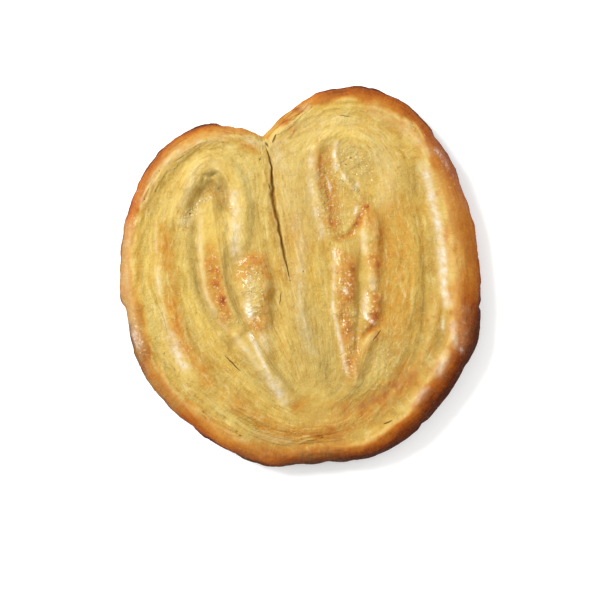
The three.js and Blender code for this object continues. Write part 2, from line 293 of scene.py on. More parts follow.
def top_height(p, extra=0):
    """Rim and level are mixed past the crest, the folds are added, and the whole rises from the waist
    as a quarter of an ellipse, whose height is the root of one less the square of the way to go."""
    off, turn = rim_place(p)
    reach, crest, fall = table(RIM, turn)
    dip = DIP[1] * np.exp(-((np.hypot(*np.moveaxis(p - DIP[0], -1, 0)) / DIP[2]) ** 2))
    high = mix(crest, LEVEL - dip, ease((off - reach) / fall))
    high += sum(rise * stroke(p, half, way, 0.5, crisp, 0.2)
                for rise, half, crisp, way in FOLDS.values()) + extra
    over = np.clip(1 - off / reach, 0, 1)
    return mix(WAIST, high, np.sqrt(1 - over**2))


print("height in the middle", round(float(top_height(np.zeros((1, 2)))[0]), 2), "mm")

# %% [markdown]
# ## Layers and unevenness
# The cut edges of the layers are finer than the folds: ribs under a millimetre high that wander, fade and
# come back. They can't be placed one by one, so the noise is used: stretched along the turn and packed
# across the depth, it looks like layers.

# %% Leaves
# height in mm that counts as a whole depth on the UV map
LAYER_SPAN = 27


def along(turn, depth):
    """The turn, drawn together near the innermost fold so that both its sides meet there."""
    t = np.abs(turn)
    return mix(t, core_share(turn) / 2, ease((depth - 0.8) / 0.2)) * np.sign(turn)


def leaves(turn, depth, p):
    """The edges of the leaves, from -1 to 1: bands of three widths that wander, fade and come back."""
    x, y = p[..., 0], p[..., 1]
    u = along(turn, depth)
    d = depth + 0.045 * grain(x / 7, y / 9, 1) + 0.016 * grain(x / 2.2, y / 3, 13)
    calm = ease((np.hypot(x - JOIN[0], y - JOIN[1]) - 2) / 16) * ease((1 - depth) / 0.16)
    calm = calm * ease(0.8 + 0.8 * grain(x / 6, y / 8, 15))
    broad, middling, fine = grain(u * 9, d * 9, 2), grain(u * 32, d * 22, 3), grain(u * 90, d * 44, 4)
    return calm * (0.44 * broad + 0.36 * middling + 0.26 * fine)


def calmness(p, depth):
    """1 where the layers can be told apart, falling to 0 at the join and at the innermost fold."""
    return ease((np.hypot(*np.moveaxis(p - JOIN, -1, 0)) - 1) / 8) * (1 - ease((depth - 0.84) / 0.13))


def layer_place(turn, depth, z):
    """The place on the UV map. The height counts as depth too, so that the layers go on down the side."""
    return np.stack([along(turn, depth), depth + z / LAYER_SPAN], -1)


print("calm in the middle", round(float(calmness(np.zeros((1, 2)), np.full(1, 0.5))[0]), 2))

# %% [markdown]
# Over the leaves lies a skin: swells that don't follow them, small bubbles where glaze has made it smooth,
# and wrinkles that run slantwise over the rim, where the crust shrank as it dried.

# %% Skin
def fine_relief(leaf, p, smooth, off, turn):
    """The leaves, less where it is smooth, plus swells, bubbles and wrinkles, in mm. A wrinkle is a ridge
    where a noise crosses zero: one less a multiple of its size."""
    x, y = p[..., 0], p[..., 1]
    ridges = np.abs(grain(turn * 56 + off / 2, off / 1.7 + 0.6 * grain(turn * 60, off, 27), 26))
    wrinkles = 0.26 * (1 - 2.4 * ridges) + 0.12 * grain(turn * 130, off / 0.9, 29)
    wrinkles = wrinkles * (1 - ease((off - 5) / 5)) * ease(0.65 + grain(turn * 22, off / 5, 28))
    swell = (0.24 * grain(x / 6.5, y / 8, 5) + 0.08 * grain(x / 2.4, y / 3, 6)
             + 0.09 * grain(x / 0.9, y / 1.1, 14))
    bubbly = 0.11 * grain(x / 1.0, y / 1.2, 16) + 0.14 * grain(x / 2, y / 2, 17)
    return 0.32 * leaf * (1 - 0.8 * smooth) + swell * (1 - 0.3 * smooth) + bubbly * smooth + wrinkles


one = np.ones(1)
print("skin at one place", round(float(fine_relief(0, np.ones((1, 2)), 0, one, one)[0]), 3), "mm")

# %% [markdown]
# The side is where the sheet's outermost leaves end. They tore and swelled as they rose, so it is given
# flutes, dents, thin ledges and a few nicks. Each moves a place along the outline's outward normal.

# %% Torn side
# place, how far it cuts in, half width
NICKS = [
    ((-51.2, -9.4), 0.7, 1.0), ((39, 41.2), 0.5, 0.8), ((51.9, -8.4), 0.6, 0.7), ((35, -42.3), 0.5, 1.0),
    ((-31, -43.6), 0.4, 0.9), ((-26, -46.6), 0.4, 0.8), ((8, -53.9), 0.4, 1.0), ((-47.6, 25.4), 0.4, 0.9)]
# turn, how far the baked side swells out past the rolled outline
SWELLS = np.array([
    (-0.60, 0.1), (-0.57, 0.3), (-0.53, -0.2), (-0.49, 0.5), (-0.46, 0.2), (-0.42, -0.25), (-0.33, 0),
    (-0.28, 0.5), (-0.24, -0.1), (-0.20, 0.1), (-0.18, 0.5), (-0.12, 0.6), (-0.05, 0.45), (-0.02, -0.35),
    (0.00, 0.4), (0.07, 0.4), (0.10, 0.7), (0.14, 0.3), (0.18, -0.25), (0.22, 0.4), (0.30, 0.15),
    (0.36, -0.3), (0.42, -0.3), (0.46, 0.35), (0.52, 0.1), (0.60, 0)])


def crags(p, z, off, turn):
    """A place moved along the outline's normal by flutes (noise along the turn), dents (noise along and
    up), ledges (ridges of a noise stretched along), the swell and the nicks, fading 3 mm in."""
    tangent = np.gradient(outline, axis=0)
    way = np.stack([tangent[:, 1], -tangent[:, 0]], -1) / np.hypot(*tangent.T)[:, None]
    turns = np.linspace(-NOTCH_TURN, NOTCH_TURN, len(outline))
    normal = np.stack([np.interp(turn, turns, way[:, k]) for k in (0, 1)], -1)
    shift = 0.26 * grain(turn * 45, 0 * turn, 21) + 0.10 * grain(turn * 140, 0 * turn + 7, 21)
    shift += 0.20 * grain(turn * 80, z / 2.6, 22) + 0.12 * grain(turn * 230, z / 0.9, 23)
    shift += 0.16 * (1 - 3 * np.abs(grain(turn * 18, z / 1.5 + 2 * grain(turn * 12, 0 * turn, 25), 24)))
    shift += table(SWELLS, turn)[0]
    for place, cut, half in NICKS:
        shift -= cut * np.exp(-0.7 * ((p - place) ** 2).sum(-1) / half**2)
    shift *= ease((NOTCH_TURN - np.abs(turn)) / 0.02) * (1 - ease(off / 3))
    return p + shift[..., None] * normal


print("nicks", len(NICKS), "widest swell", SWELLS[:, 1].max(), "mm")

# %% [markdown]
# ## Where it is browned and where it shines
# The rim faces the oven's heat, so it is browned most, above all at the lower right. High tongues and
# blisters catch it too. They are also where egg wash and melted sugar set to a gloss. Each is a field
# over the plan, drawn with the same strokes as the folds, and kept as an attribute of the mesh. The rim's
# brown follows the outline all round, so it is a table over the turn.

# %% Browned places
# turn, how brown the outline is, how brown the rim still is where its brown ends, where that is in mm,
# how soft that end is in mm
CRUST = np.array([
    (-0.60, 0.10, 0.00, 1.5, 2.0), (-0.56, 0.22, 0.38, 2.5, 1.4), (-0.50, 0.76, 0.02, 4.9, 1.4),
    (-0.43, 0.66, 0.42, 3.0, 1.4), (-0.38, 0.62, 0.32, 3.5, 1.2), (-0.32, 0.56, 0.32, 3.5, 1.6),
    (-0.27, 0.60, 0.28, 5.5, 1.2), (-0.22, 0.74, 0.28, 5.2, 2.4), (-0.17, 0.78, 0.22, 4.8, 1.8),
    (-0.12, 0.72, 0.00, 7.0, 1.6), (-0.07, 0.70, 0.18, 5.4, 2.0), (-0.02, 0.86, 0.30, 5.0, 3.0),
    (0.02, 0.88, 0.36, 4.8, 2.6), (0.07, 0.96, 0.36, 4.8, 2.6), (0.12, 0.97, 0.36, 6.0, 2.2),
    (0.17, 1.02, 0.12, 8.4, 1.6), (0.19, 1.04, 0.20, 8.6, 1.4), (0.225, 0.90, 0.20, 9.0, 1.3),
    (0.27, 0.56, 0.18, 9.0, 1.4), (0.33, 0.50, 0.26, 8.4, 1.3), (0.37, 0.74, 0.24, 7.6, 1.3),
    (0.42, 0.68, 0.40, 3.8, 2.0),
    (0.48, 0.82, 0.12, 5.5, 1.3), (0.52, 0.68, 0.54, 4.0, 2.4), (0.56, 0.18, 0.42, 3.0, 1.5),
    (0.60, 0.10, 0.26, 2.0, 1.2)])
# amount, half width in mm and the way of each browned place
STAINS = {
    "tongue": (0.3, 1.8, [(-25.6, 7.2), (-25, 4.6), (-24.3, 0), (-23.4, -4), (-22.2, -7), (-21.6, -12)]),
    "tongue flank": (0.13, 1.2, [(-27.8, 4), (-27, -3), (-25, -8)]),
    "tongue edge": (0.15, 1.0, [(-23.4, 2), (-22.6, -3), (-21.6, -7)]),
    "blister top": (0.3, 2.3, [(-16, 1.4), (-14.8, 3.4), (-13, 4.2), (-11, 3)]),
    "blister side": (0.19, 1.6, [(-10, 2), (-9.6, -4), (-10.4, -12)]),
    "blister foot": (0.2, 2.0, [(-12.4, -14), (-10, -13.6)]),
    "outer fold high": (0.2, 1.9, [(-39, 13), (-39.2, 8), (-38.4, 5)]),
    "outer fold": (0.22, 2.0, [(-37.2, -6), (-35.4, -14.5), (-33, -20.5)]),
    "outer fold low": (0.17, 2.0, [(-29.6, -25), (-27, -30.5)]),
    "outer fold foot": (0.14, 2.8, [(-20, -35), (-11, -40)]),
    "left field": (0.12, 1.4, [(-36, 2), (-35.4, -3)]),
    "west tongue": (0.27, 2.7, [(12.8, 5.2), (12.9, 0), (12.8, -3)]),
    "west tongue edge": (0.16, 0.9, [(15, 5), (15.2, 0), (14.9, -6)]),
    "west tongue low": (0.27, 2.3, [(13, -8), (13.1, -14), (13.8, -20), (14.6, -27)]),
    "east tongue": (0.17, 1.2, [(22.4, 15), (22.7, 8), (22.3, 3), (21.8, 0)]),
    "east tongue neck": (0.24, 1.3, [(20.8, 5.4), (21.2, 2)]),
    "east tongue low": (0.3, 1.5, [(21.6, -5.6), (21.6, -10), (21.3, -12.6)]),
    "east crease": (0.2, 0.6, [(22.2, -14), (20.6, -14.8), (19.1, -15.8), (18.1, -17.2)]),
    "east tail": (0.16, 1.6, [(21.4, -16), (19.4, -19.6)]),
    "pool": (0.13, 2.8, [(7.6, 35), (8.6, 28), (10.6, 22)]),
    "pool side": (0.18, 1.0, [(5.4, 35), (5.5, 31), (6.3, 26.8), (7.4, 24.4)]),
    "pool floor": (0.12, 1.5, [(8.2, 23), (8.6, 19.6), (9.4, 15.4)]),
    "pool corner": (0.18, 1.8, [(9, 17), (9.8, 14.2)]),
    # partly brown and partly painted shade in the crease under the tongue's edge
    "pool foot": (0.36, 0.9, [
        (18.9, 19.9), (17.5, 17.6), (16.1, 14.6), (14.4, 12.4), (12.2, 11.4), (10.6, 10.8)]),
    "arch hollow": (0.05, 2.0, [(-33, 18.6), (-30.6, 22), (-28, 24), (-24, 23.6)]),
    "east head": (0.22, 1.7, [(18.8, 20.8), (20, 15)]),
    "right outer fold": (0.14, 2.2, [(39, -8), (36.6, -19), (32, -29)]),
    "right foot": (0.38, 2.6, [(31, -28), (26.6, -32.4), (20, -36.2), (13, -38)]),
    "foot band": (0.2, 2.4, [(-10, -43.6), (0, -44.8), (9, -44.4)]),
    "foot edge": (0.22, 2.8, [(-12, -49), (0, -50), (12, -48)]),
    "foot right": (0.12, 2.6, [(6, -45), (16, -43.4), (24, -39)]),
    "right flank low": (0.14, 2.2, [(43.4, -8), (42.4, -18), (38, -26)]),
    "arch head": (0.14, 1.4, [(-24, 25.6), (-22.5, 24), (-21.9, 20.6)]),
    # painted shade beside the crack
    "crack side": (0.22, 1.2, [(-8.9, 32), (-7.6, 20), (-5.6, 8), (-3.6, -1)]),
    "left rim low": (0.17, 1.6, [(-48, -14), (-45.6, -23)]),
    "join": (0.08, 4.0, [(2, -38.6), (8, -38.6)]),
    "foot spot": (0.16, 1.8, [(-1.8, -37.2), (-0.2, -37)]),
    "centre": (0.07, 5, [(0, 16), (0, 6), (-1, -4)]),
    "right field": (0.15, 7, [(27, 18), (29, 0), (26, -16)]),
    "right brow": (0.2, 2.6, [(18, 49.6), (25, 46), (31, 41.4), (35, 37)]),
    "right brow edge": (0.1, 1.0, [(27.6, 45), (32, 41.6)]),
    "left brow": (0.14, 1.8, [(-46, 20), (-41, 30.4), (-33, 37), (-22, 40)]),
    "left stripe": (0.14, 0.8, [(-46.9, 14), (-46.4, 2), (-46, -8)]),
    "left stripe low": (0.28, 1.1, [(-46, -9), (-44.8, -15), (-43.4, -21.4)]),
    "notch flake": (0.45, 0.7, [(-1.4, 48.4), (0.6, 47.8)]),
    "notch right": (0.2, 1.3, [(-5.4, 45), (-2.4, 42.8)]),
    "notch left": (0.18, 1.5, [(-15.8, 37.2), (-11, 37.8)]),
}
print("browned places", len(STAINS))

# %% [markdown]
# Gloss, paleness with painted highlights and painted white glints are kept apart from the brown, since a
# pale flank can shine and a brown crest be dull. Their tables read like the one above.

# %% Glossy, pale and white places
# where egg wash and melted sugar have set
GLOSSES = {
    "tongue": (0.8, 2.2, [(-25, 6), (-24, 0), (-21, -12)]),
    "arch": (0.2, 1.0, [(-19.3, 23), (-18.8, 12), (-18.4, 8)]),
    "arch hollow": (0.2, 3.0, [(-31, 20), (-27, 25), (-23, 24)]),
    "blister": (1.0, 3.4, [(-13.6, 4), (-12.6, -5), (-12.2, -14)]),
    "bubbles": (0.9, 1.5, [(-33, 15.6), (-31, 19.4)]),
    "outer fold": (0.15, 2.4, [(-39.5, 10), (-37, -8), (-30, -26)]),
    "west tongue": (0.9, 2.4, [(12.4, 6), (13.4, -10), (15, -30)]),
    "east tongue": (0.45, 2.0, [(19, 14), (21, 2)]),
    "east tongue low": (0.9, 2.0, [(20, -5), (20, -14)]),
    "pool": (0.65, 4.0, [(7.5, 34), (8.5, 22), (14, 15)]),
    "bright lip": (0.4, 1.6, [(9.8, 37), (12, 28), (18.6, 20)]),
    "coil": (0.6, 4.0, [(15, 34), (17, 31)]),
    "right field": (0.45, 4.0, [(27, -18), (23, -27)]),
    "right gutter": (0.12, 1.6, [(38, 24), (41, 8), (41.6, -8), (41, -20)]),
    "left rim": (0.3, 1.8, [(-46.6, 22), (-50, 10), (-50, -8), (-44.6, -26)]),
    "left rim low": (0.9, 1.5, [(-48.2, -13), (-47, -17), (-45.6, -21)]),
    "right rim": (0.4, 2.0, [(46.4, 21), (42.6, 31), (38.6, 36.6), (32, 43)]),
    "right rim low": (0.2, 1.6, [(46.2, -9), (46.4, -15), (46.2, -21)]),
    "left lip": (0.7, 0.4, [(-30.2, 20.6), (-29, 21.6), (-27.4, 22.2), (-25.2, 22.8)]),
}
# where the skin is pale and where a highlight is painted as cream, above all on the flanks that are turned
# to the left, towards the key light
PALES_AND_HIGHLIGHTS = {
    "right rim": (0.7, 1.15, [(35.4, 31.6), (37.6, 24), (39.5, 15), (40.7, 7), (41.3, -2), (42.2, -8)]),
    "right rim streak": (0.8, 0.4, [(41, -11.6), (41, -14.6)]),
    "right rim low": (0.45, 1.3, [(41.4, -22.6), (39.6, -27.4)]),
    "right rim bloom": (0.14, 1.9, [(46.6, -9.6), (46.8, -14), (45.8, -19)]),
    "right rim foot": (0.3, 1.2, [(36, -32.4), (32, -36.6)]),
    "right rim patch": (0.55, 0.9, [(43.8, -13.4), (44.2, -19.6)]),
    "left rim": (0.3, 1.6, [(-49.4, 14), (-50.6, 4), (-49.8, -8), (-47, -18)]),
    "outer fold high": (0.4, 0.4, [(-41.6, 14), (-41.4, 7)]),
    "outer fold": (0.5, 0.6, [(-40.9, 2), (-40.3, -5)]),
    "outer fold low": (0.35, 0.7, [(-39.6, -8), (-38.4, -15)]),
    "outer fold foot": (0.6, 1.4, [(-37.2, -17), (-35, -22), (-33, -26)]),
    "tongue": (0.3, 0.7, [(-28.9, 19), (-28.8, 8), (-28, -1), (-25.8, -8), (-21, -16)]),
    "tongue low": (0.35, 1.0, [(-18.4, -17.6), (-14, -23), (-8, -31)]),
    "arch": (0.25, 1.5, [(-30.8, 30.4), (-27.4, 32.6), (-23.4, 32)]),
    "arch limb": (0.3, 1.1, [(-34, 20.6), (-32.2, 24.8), (-30.8, 28.2)]),
    "arch right": (0.5, 1.5, [(-18.8, 24), (-18.3, 18), (-18.7, 9.6), (-18, 5)]),
    "blister": (0.3, 1.2, [(-14.6, 0), (-14.8, -6), (-14.4, -12)]),
    "blister tail": (0.8, 0.6, [(-14.4, -16.6), (-12.4, -20.4), (-10.6, -24.6), (-8.6, -29)]),
    "blister tail side": (0.35, 1.4, [(-11.2, -16.5), (-9.4, -21)]),
    "blister tail end": (0.6, 1.5, [(-7.2, -30.4), (-4.8, -35.6)]),
    "west tongue": (0.55, 0.5, [(9.9, 8), (9.7, -2), (9.5, -9), (10.8, -15.2), (12.6, -24), (13.6, -28)]),
    "east tongue": (0.5, 0.8, [(18.2, 12.6), (18.4, 7)]),
    "east tongue neck": (0.4, 0.9, [(20.6, -0.4), (21, -3.2)]),
    "east tongue low": (0.6, 0.8, [(18.8, -5), (18.8, -11)]),
    "bright lip": (0.6, 0.6, [(10.4, 38.4), (9.9, 36), (9.9, 33), (10.5, 31)]),
    "bright lip low": (0.6, 0.5, [(12.2, 29.4), (12.7, 27.8)]),
    "bright lip end": (0.6, 0.6, [(16.3, 20), (15.6, 17.8)]),
    "bright lip side": (0.5, 0.5, [(16.6, 26.8), (15.7, 25.2)]),
    "pool line": (0.6, 0.3, [(7.7, 28.8), (8.3, 26.6), (8.7, 24.7)]),
    "pool west": (0.4, 1.2, [(3.2, 36), (3, 28), (4.2, 20), (6.4, 12)]),
    "middle": (0.3, 1.6, [(0.4, 9), (-0.2, -8), (3, -21)]),
    "foot": (0.2, 1.0, [(-13, -45.4), (-3, -47.4)]),
    "right crown": (0.2, 3.0, [(-1, 42), (10, 44.5), (20, 41.5)]),
    "right brow": (0.2, 1.6, [(20, 48), (29, 43), (36.6, 35.4)]),
    "top ring": (0.3, 1.2, [(-45, 22), (-40, 31), (-32, 37.4), (-22, 39.8)]),
    "centre up": (0.2, 3.0, [(-5, 36), (-3, 24), (0, 12)]),
    "right of coil": (0.25, 2.6, [(23, 36), (25, 30), (24, 22)]),
    "right of crack": (0.3, 1.2, [(-6.8, 38.6), (-6.6, 32)]),
    "notch flap": (0.3, 1.1, [(-16, 39.6), (-13.6, 39), (-11.8, 38)]),
    "notch crumbs": (0.5, 0.8, [(-0.8, 49), (1.6, 48.8)]),
}
# painted highlights: white spots where glaze catches the light, drawn as colour
PAINTED_GLINTS = {
    "blister": (0.75, 0.8, [(-14.9, -8.8), (-14.3, -11.2)]),
    "arch": (0.7, 0.5, [(-19.5, 21.5), (-19.1, 21)]),
    "east tongue": (0.7, 0.4, [(18.7, -10.8), (19.2, -11.9), (21.1, -13)]),
    "pool": (0.4, 0.4, [(16.3, 19.9), (15.9, 18.4)]),
    "coil side": (0.2, 0.5, [(16.5, 26.6), (15.9, 25.4)]),
    "lip": (0.3, 0.22, [(-30.1, 20.6), (-28.6, 21.8), (-25.4, 22.8)]),
    "bubbles": (0.25, 0.8, [(-33.2, 16.4), (-32, 16)]),
    "left rim": (0.3, 0.8, [(-47.4, -16.4), (-46.2, -20)]),
    "west tongue": (0.5, 0.45, [(12.5, -3.6), (13.3, -4.4)]),
    "right rim": (0.25, 0.45, [(46, -20.6), (46.3, -21.4)]),
    "shoulder": (0.3, 0.6, [(39, 36), (40.2, 34.8)]),
    "shoulder low": (0.25, 0.5, [(41.2, 33.8), (42.2, 31.4)]),
    "flank": (0.2, 0.6, [(41.2, 10), (41.8, 1)]),
}
print("glossy, pale and white places", len(GLOSSES), len(PALES_AND_HIGHLIGHTS), len(PAINTED_GLINTS))

# %% [markdown]
# Some places are brighter yellow and some are a dull olive. The dull olive is partly painted shade, in the
# valleys, hollows, gutters and creases and beside the crack, and the yellow is partly a painted highlight
# on the arch's crest.

# %% Dull and yellow places
# dull olive places; those in valleys, hollows, gutters and creases and beside the crack are painted shade
DULLS_AND_SHADE = {
    "arch hollow": (0.3, 2.4, [(-31, 19), (-28, 24), (-24, 25.6)]),
    "arch head": (0.9, 1.6, [(-23.6, 26), (-22.5, 24), (-21.9, 20.6)]),
    "arch crease": (0.4, 0.5, [
        (-27.8, 27), (-27.5, 28.9), (-25.4, 29.1), (-23.2, 29.5), (-21.9, 27.4), (-21, 24.6)]),
    "between tails": (0.6, 3.2, [(-15.5, -22), (-9, -33)]),
    "right of middle": (0.5, 3.4, [(8, -14), (9, -28)]),
    "middle": (0.45, 3.0, [(0, -10), (3, -24)]),
    "beside crack": (0.75, 1.1, [(-8.7, 32), (-8.4, 28), (-7.2, 18), (-5.4, 8), (-3.4, -1)]),
    "beside seam": (0.4, 1.8, [(-2.6, -2), (0.4, -14), (2, -24)]),
    "right of crack": (0.25, 2.4, [(1, 34), (1.6, 18)]),
    "olive eye": (0.5, 2.4, [(31, 32), (33, 25)]),
    "right of arch": (0.2, 2.2, [(-15, 33), (-14, 25), (-12.4, 12)]),
    "notch": (0.6, 0.9, [(-11.2, 39), (-10.8, 36.8)]),
    "foot": (0.4, 2.2, [(20, -42), (29, -36)]),
    "right gutter": (0.5, 1.2, [(37.6, 14), (37.4, -8), (34.6, -21)]),
    "gutter spot": (0.8, 0.6, [(35.7, -8), (35.6, -10.4)]),
    "pool rim": (0.2, 1.4, [(2.6, 34), (2.6, 16)]),
    "left valley": (0.55, 1.5, [(-31.2, 15), (-30.6, 4), (-29.4, -3), (-25.6, -12)]),
    "coil": (0.4, 3.6, [(14, 34), (19, 33)]),
    "pool head": (0.25, 1.3, [(7.8, 38), (8.6, 31)]),
    "left rim": (0.7, 1.6, [(-50.6, 14), (-51, 0), (-49, -12)]),
    "left rim low": (0.5, 1.8, [(-48, -14), (-46, -22), (-42, -30), (-35, -38)]),
    "left low": (0.2, 3.0, [(-22, -30), (-14, -37)]),
    "right low": (0.5, 3.4, [(24, -21), (22, -29), (13, -33)]),
    "right foot": (0.5, 2.8, [(36, -21), (30, -30), (22, -35), (13, -38)]),
    "foot edge": (0.4, 2.6, [(-14, -48.6), (-4, -49.6), (6, -48.8), (16, -46)]),
    "join": (0.5, 3.0, [(2, -41), (10, -40)]),
    "gutter foot": (0.5, 2.4, [(41, -17), (37, -25)]),
}
YELLOWS = {
    "left valley": (0.6, 2.2, [(-34, 5), (-32.4, -6), (-26, -17)]),
    "coil": (0.5, 2.0, [(10, 41), (15, 42), (20, 39)]),
    "coil spot": (0.7, 1.3, [(11.4, 41.6), (14.6, 41)]),
    "right of coil": (0.5, 2.4, [(24.6, 30), (22.6, 24)]),
    "broad fold": (0.5, 1.8, [(32.6, 12), (32.6, -4)]),
    "low tail": (0.4, 1.8, [(-24, -22), (-15, -31), (-8, -39)]),
    "middle": (0.35, 1.8, [(3.6, 4), (4.8, -6)]),
    "top": (0.5, 2.6, [(2, 46.4), (12, 48.6), (21, 45.8)]),
    "tongue head": (0.5, 2.6, [(-25.6, 18), (-25, 10)]),
    # partly a painted highlight on the arch's crest
    "arch": (0.45, 1.8, [(-31, 30), (-27, 32.8), (-21, 30.4), (-17.4, 24), (-17, 12)]),
    "left ring": (0.5, 1.6, [(-46.4, 14), (-47.4, 2), (-46.6, -8), (-43, -20)]),
    "top ring": (0.4, 1.8, [(-43, 26), (-35, 36), (-24, 39.6)]),
    "left of arch": (0.35, 1.8, [(-44, 16), (-44.6, -6)]),
    "low right": (0.35, 2.2, [(16, -34), (26, -27)]),
}
print("dull and yellow places", len(DULLS_AND_SHADE), len(YELLOWS))

# %% [markdown]
# ## From tables to fields
# One function lays the strokes of a table over each other, one reads the rim's table, and one breaks up
# the edges, because no stain has the even outline of a stroke.

# %% Fields
def painted(p, strokes):
    """Strokes laid over each other: what each leaves bare is multiplied."""
    bare = np.ones(p.shape[:-1])
    for amount, half, way in strokes.values():
        bare *= 1 - amount * stroke(p, half, way, 0.2)
    return 1 - bare


def crust(off, turn):
    """The rim's brown fades from the outline to where it ends, by the share of the way to the power 0.75,
    and its end is ragged. Within 0.8 mm of the outline it is darker still, as painted shade on the steep
    side."""
    outline_brown, last_brown, end, soft = table(CRUST, turn)
    wander = 0.14 * grain(turn * 50 + off / 6, off / 5, 7) + 0.08 * grain(turn * 170 + off / 3, off / 4, 8)
    off = off * (1 + wander)
    fading = mix(outline_brown, last_brown, np.minimum(off / end, 1) ** 0.75)
    # the last term is painted shade: a dark band along the outline, where the steep side turns from the
    # light
    return fading * (1 - ease((off - end) / soft + 0.5)) + 0.15 * (1 - ease(off / 0.8))


def ragged(p, seed, size=2.2):
    """A factor about 1 that breaks up a painted patch, from noise of two sizes."""
    x, y = p[..., 0] / size, p[..., 1] / size
    return np.clip(1 + 0.45 * grain(x, y, seed) + 0.35 * grain(2.7 * x, 2.3 * y, seed + 1), 0, 1.6)


def skin(p):
    """Browning, gloss, and paleness with painted highlight at each place, with its distance from the
    outline and the turn there.
    """
    off, turn = rim_place(p)
    ring = ease((off - 2) / 2) * (1 - ease((off - 5) / 2.5)) * ragged(p, 40, 3)
    brown = 1 - (1 - crust(off, turn)) * (1 - painted(p, STAINS) * ragged(p, 31)) * (1 - 0.05 * ring)
    gloss = painted(p, GLOSSES) * ease(off / 2)
    pale = painted(p, PALES_AND_HIGHLIGHTS) * ragged(p, 34, 1.6) * ease(off / 3)
    return brown, gloss, np.clip(pale, 0, 1), off, turn


print("brown at the foot", round(float(skin(plan(np.zeros(1), np.zeros(1)))[0][0]), 2))

# %% [markdown]
# ## Top and underside as two sheets
# The top is a grid of turns and depths lifted to its height. The underside is a like grid, rolled in at
# the waist and nearly flat, since it lay on the tray. Rows are packed closer by the outline and by the
# seam, where a crack opens between the lobes. Corners that fall on each other are given one number, so
# that the sheets close into one skin.

# %% Rows, crack and hollows
# a quarter of the columns, and the distances in mm of the rows near the outline
TURNS = 150
NEAR_ROWS = np.r_[0, 0.03, 0.08, 0.16, 0.27, 0.42, 0.62, 0.86, 1.14, 1.46, 1.82, np.arange(2.2, 8.6, 0.4)]
NEAR_ROWS_UNDER = np.array([0, 0.05, 0.14, 0.3, 0.55, 0.95, 1.5, 2.3, 3.4, 5])
# shares of the seam where the crack begins and ends, and its depth in mm
CRACK = (0.07, 0.56, 1.4)


def row_depths(turn, near, rows):
    """The first rows lie at set distances from the outermost line and the rest share what is left."""
    span = np.maximum(np.hypot(*np.moveaxis(outer(turn) - inner(turn), -1, 0)), 1e-6)[:, None]
    k = np.arange(rows + 1)
    first = np.minimum(near[np.minimum(k, len(near) - 1)] / span, np.minimum(k, len(near) - 1) / rows)
    return mix(first, 1, np.clip((k - len(near) + 1) / (rows - len(near) + 1), 0, 1))


def crack(p, turn):
    """Depth of the crack: deepest midway along it, its sides steep, its path and width uneven."""
    off, share = nearest(p, seam.points)
    way = (share - CRACK[0]) / (CRACK[1] - CRACK[0])
    inside = np.clip(4 * way * (1 - way), 0, 1)
    shifted = np.abs(off * np.sign(turn) + 0.3 * grain(share * 46, share * 0, 9) * inside)
    wide = (0.25 + 0.85 * inside) * (0.75 + 0.25 * grain(share * 34, share * 0 + 9, 9))
    return inside**0.35 * (1 - ease(shifted / wide))


def hollowness(z, columns=4, rows=7):
    """How far each place lies below the mean of the places around it in the grid, in mm."""
    wide = np.pad(z, ((columns, columns), (rows, rows)), "edge")
    windows = [wide[a:a + z.shape[0], b:b + z.shape[1]]
               for a in range(2 * columns + 1) for b in range(2 * rows + 1)]
    return sum(windows) / len(windows) - z


print("rows near the outline", len(NEAR_ROWS), "and below", len(NEAR_ROWS_UNDER))

# %% [markdown]
# Each sheet is worked out as whole grids: a turn for each column, a depth for each row, and from them the
# place, the height and the fields that the material will read.

# %% Two sheets
def top_sheet(rows):
    """Places, heights, turns and depths of the top's corners, and the fields there. The crack is cut into
    the height, and the skin's fields end at it."""
    turn = np.linspace(-1, 1, 4 * TURNS + 1)
    depth = row_depths(turn, NEAR_ROWS, rows)
    turn = np.repeat(turn[:, None], rows + 1, 1)
    p = plan(turn, depth)
    brown, gloss, pale, off, rim_turn = skin(p)
    split = crack(p, turn)
    leaf = leaves(turn, depth, p)
    z = top_height(p, fine_relief(leaf, p, gloss, off, rim_turn)) - CRACK[2] * split
    hollow = hollowness(z) * ease(off / 3)
    dull = painted(p, DULLS_AND_SHADE) * ragged(p, 37, 1.8)
    # in the crack the hollow field is set high, which paints shade there
    fields = {"brown": mix(brown, 0.2, split), "gloss": gloss * (1 - split), "pale": pale * (1 - split),
              "leaf": leaf, "hollow": mix(hollow, 0.7, split), "dull": dull * (1 - split),
              "yellow": painted(p, YELLOWS) * (1 - split),
              "frost": painted(p, PAINTED_GLINTS) * (1 - split) * ease(off / 1.5), "calm": calmness(p, depth)}
    return crags(p, z, off, rim_turn), z, turn, depth, fields


def under_sheet(rows):
    """Rolled in from the waist as a quarter ellipse of width TUCK, then flat but for low ribs."""
    turn = np.linspace(-1, 1, 4 * TURNS + 1)
    depth = row_depths(turn, NEAR_ROWS_UNDER, rows)
    turn = np.repeat(turn[:, None], rows + 1, 1)
    p = plan(turn, depth)
    off, rim_turn = rim_place(p)
    over = np.clip(1 - off / TUCK, 0, 1)
    leaf = leaves(turn, depth, p)
    ribs = 0.3 * np.abs(leaf) + 0.2 * np.abs(grain(p[..., 0] / 7, p[..., 1] / 7, 11))
    z = WAIST * (1 - np.sqrt(1 - over**2)) + ribs * (1 - over)
    tray_brown = 0.42 + 0.16 * grain(p[..., 0] / 9, p[..., 1] / 9, 12) - 0.1 * ease((off - 8) / 14)
    brown = np.clip(tray_brown, 0, 1)
    brown = mix(brown, np.maximum(crust(off * 0, rim_turn), 0.4), ease(over * 1.3))
    fields = {name: 0 * over for name in ("pale", "hollow", "dull", "yellow", "frost")}
    fields |= {"brown": brown, "gloss": 0.05 + 0 * over, "leaf": leaf, "calm": calmness(p, depth)}
    return crags(p, z, off, rim_turn), z, turn, depth, fields


print("columns of each sheet", 4 * TURNS + 1)

# %% [markdown]
# A grid of this shape falls on itself in three places: along the seam, along the innermost folds and at
# the join. There two corners are given one number, and the faces between them vanish.

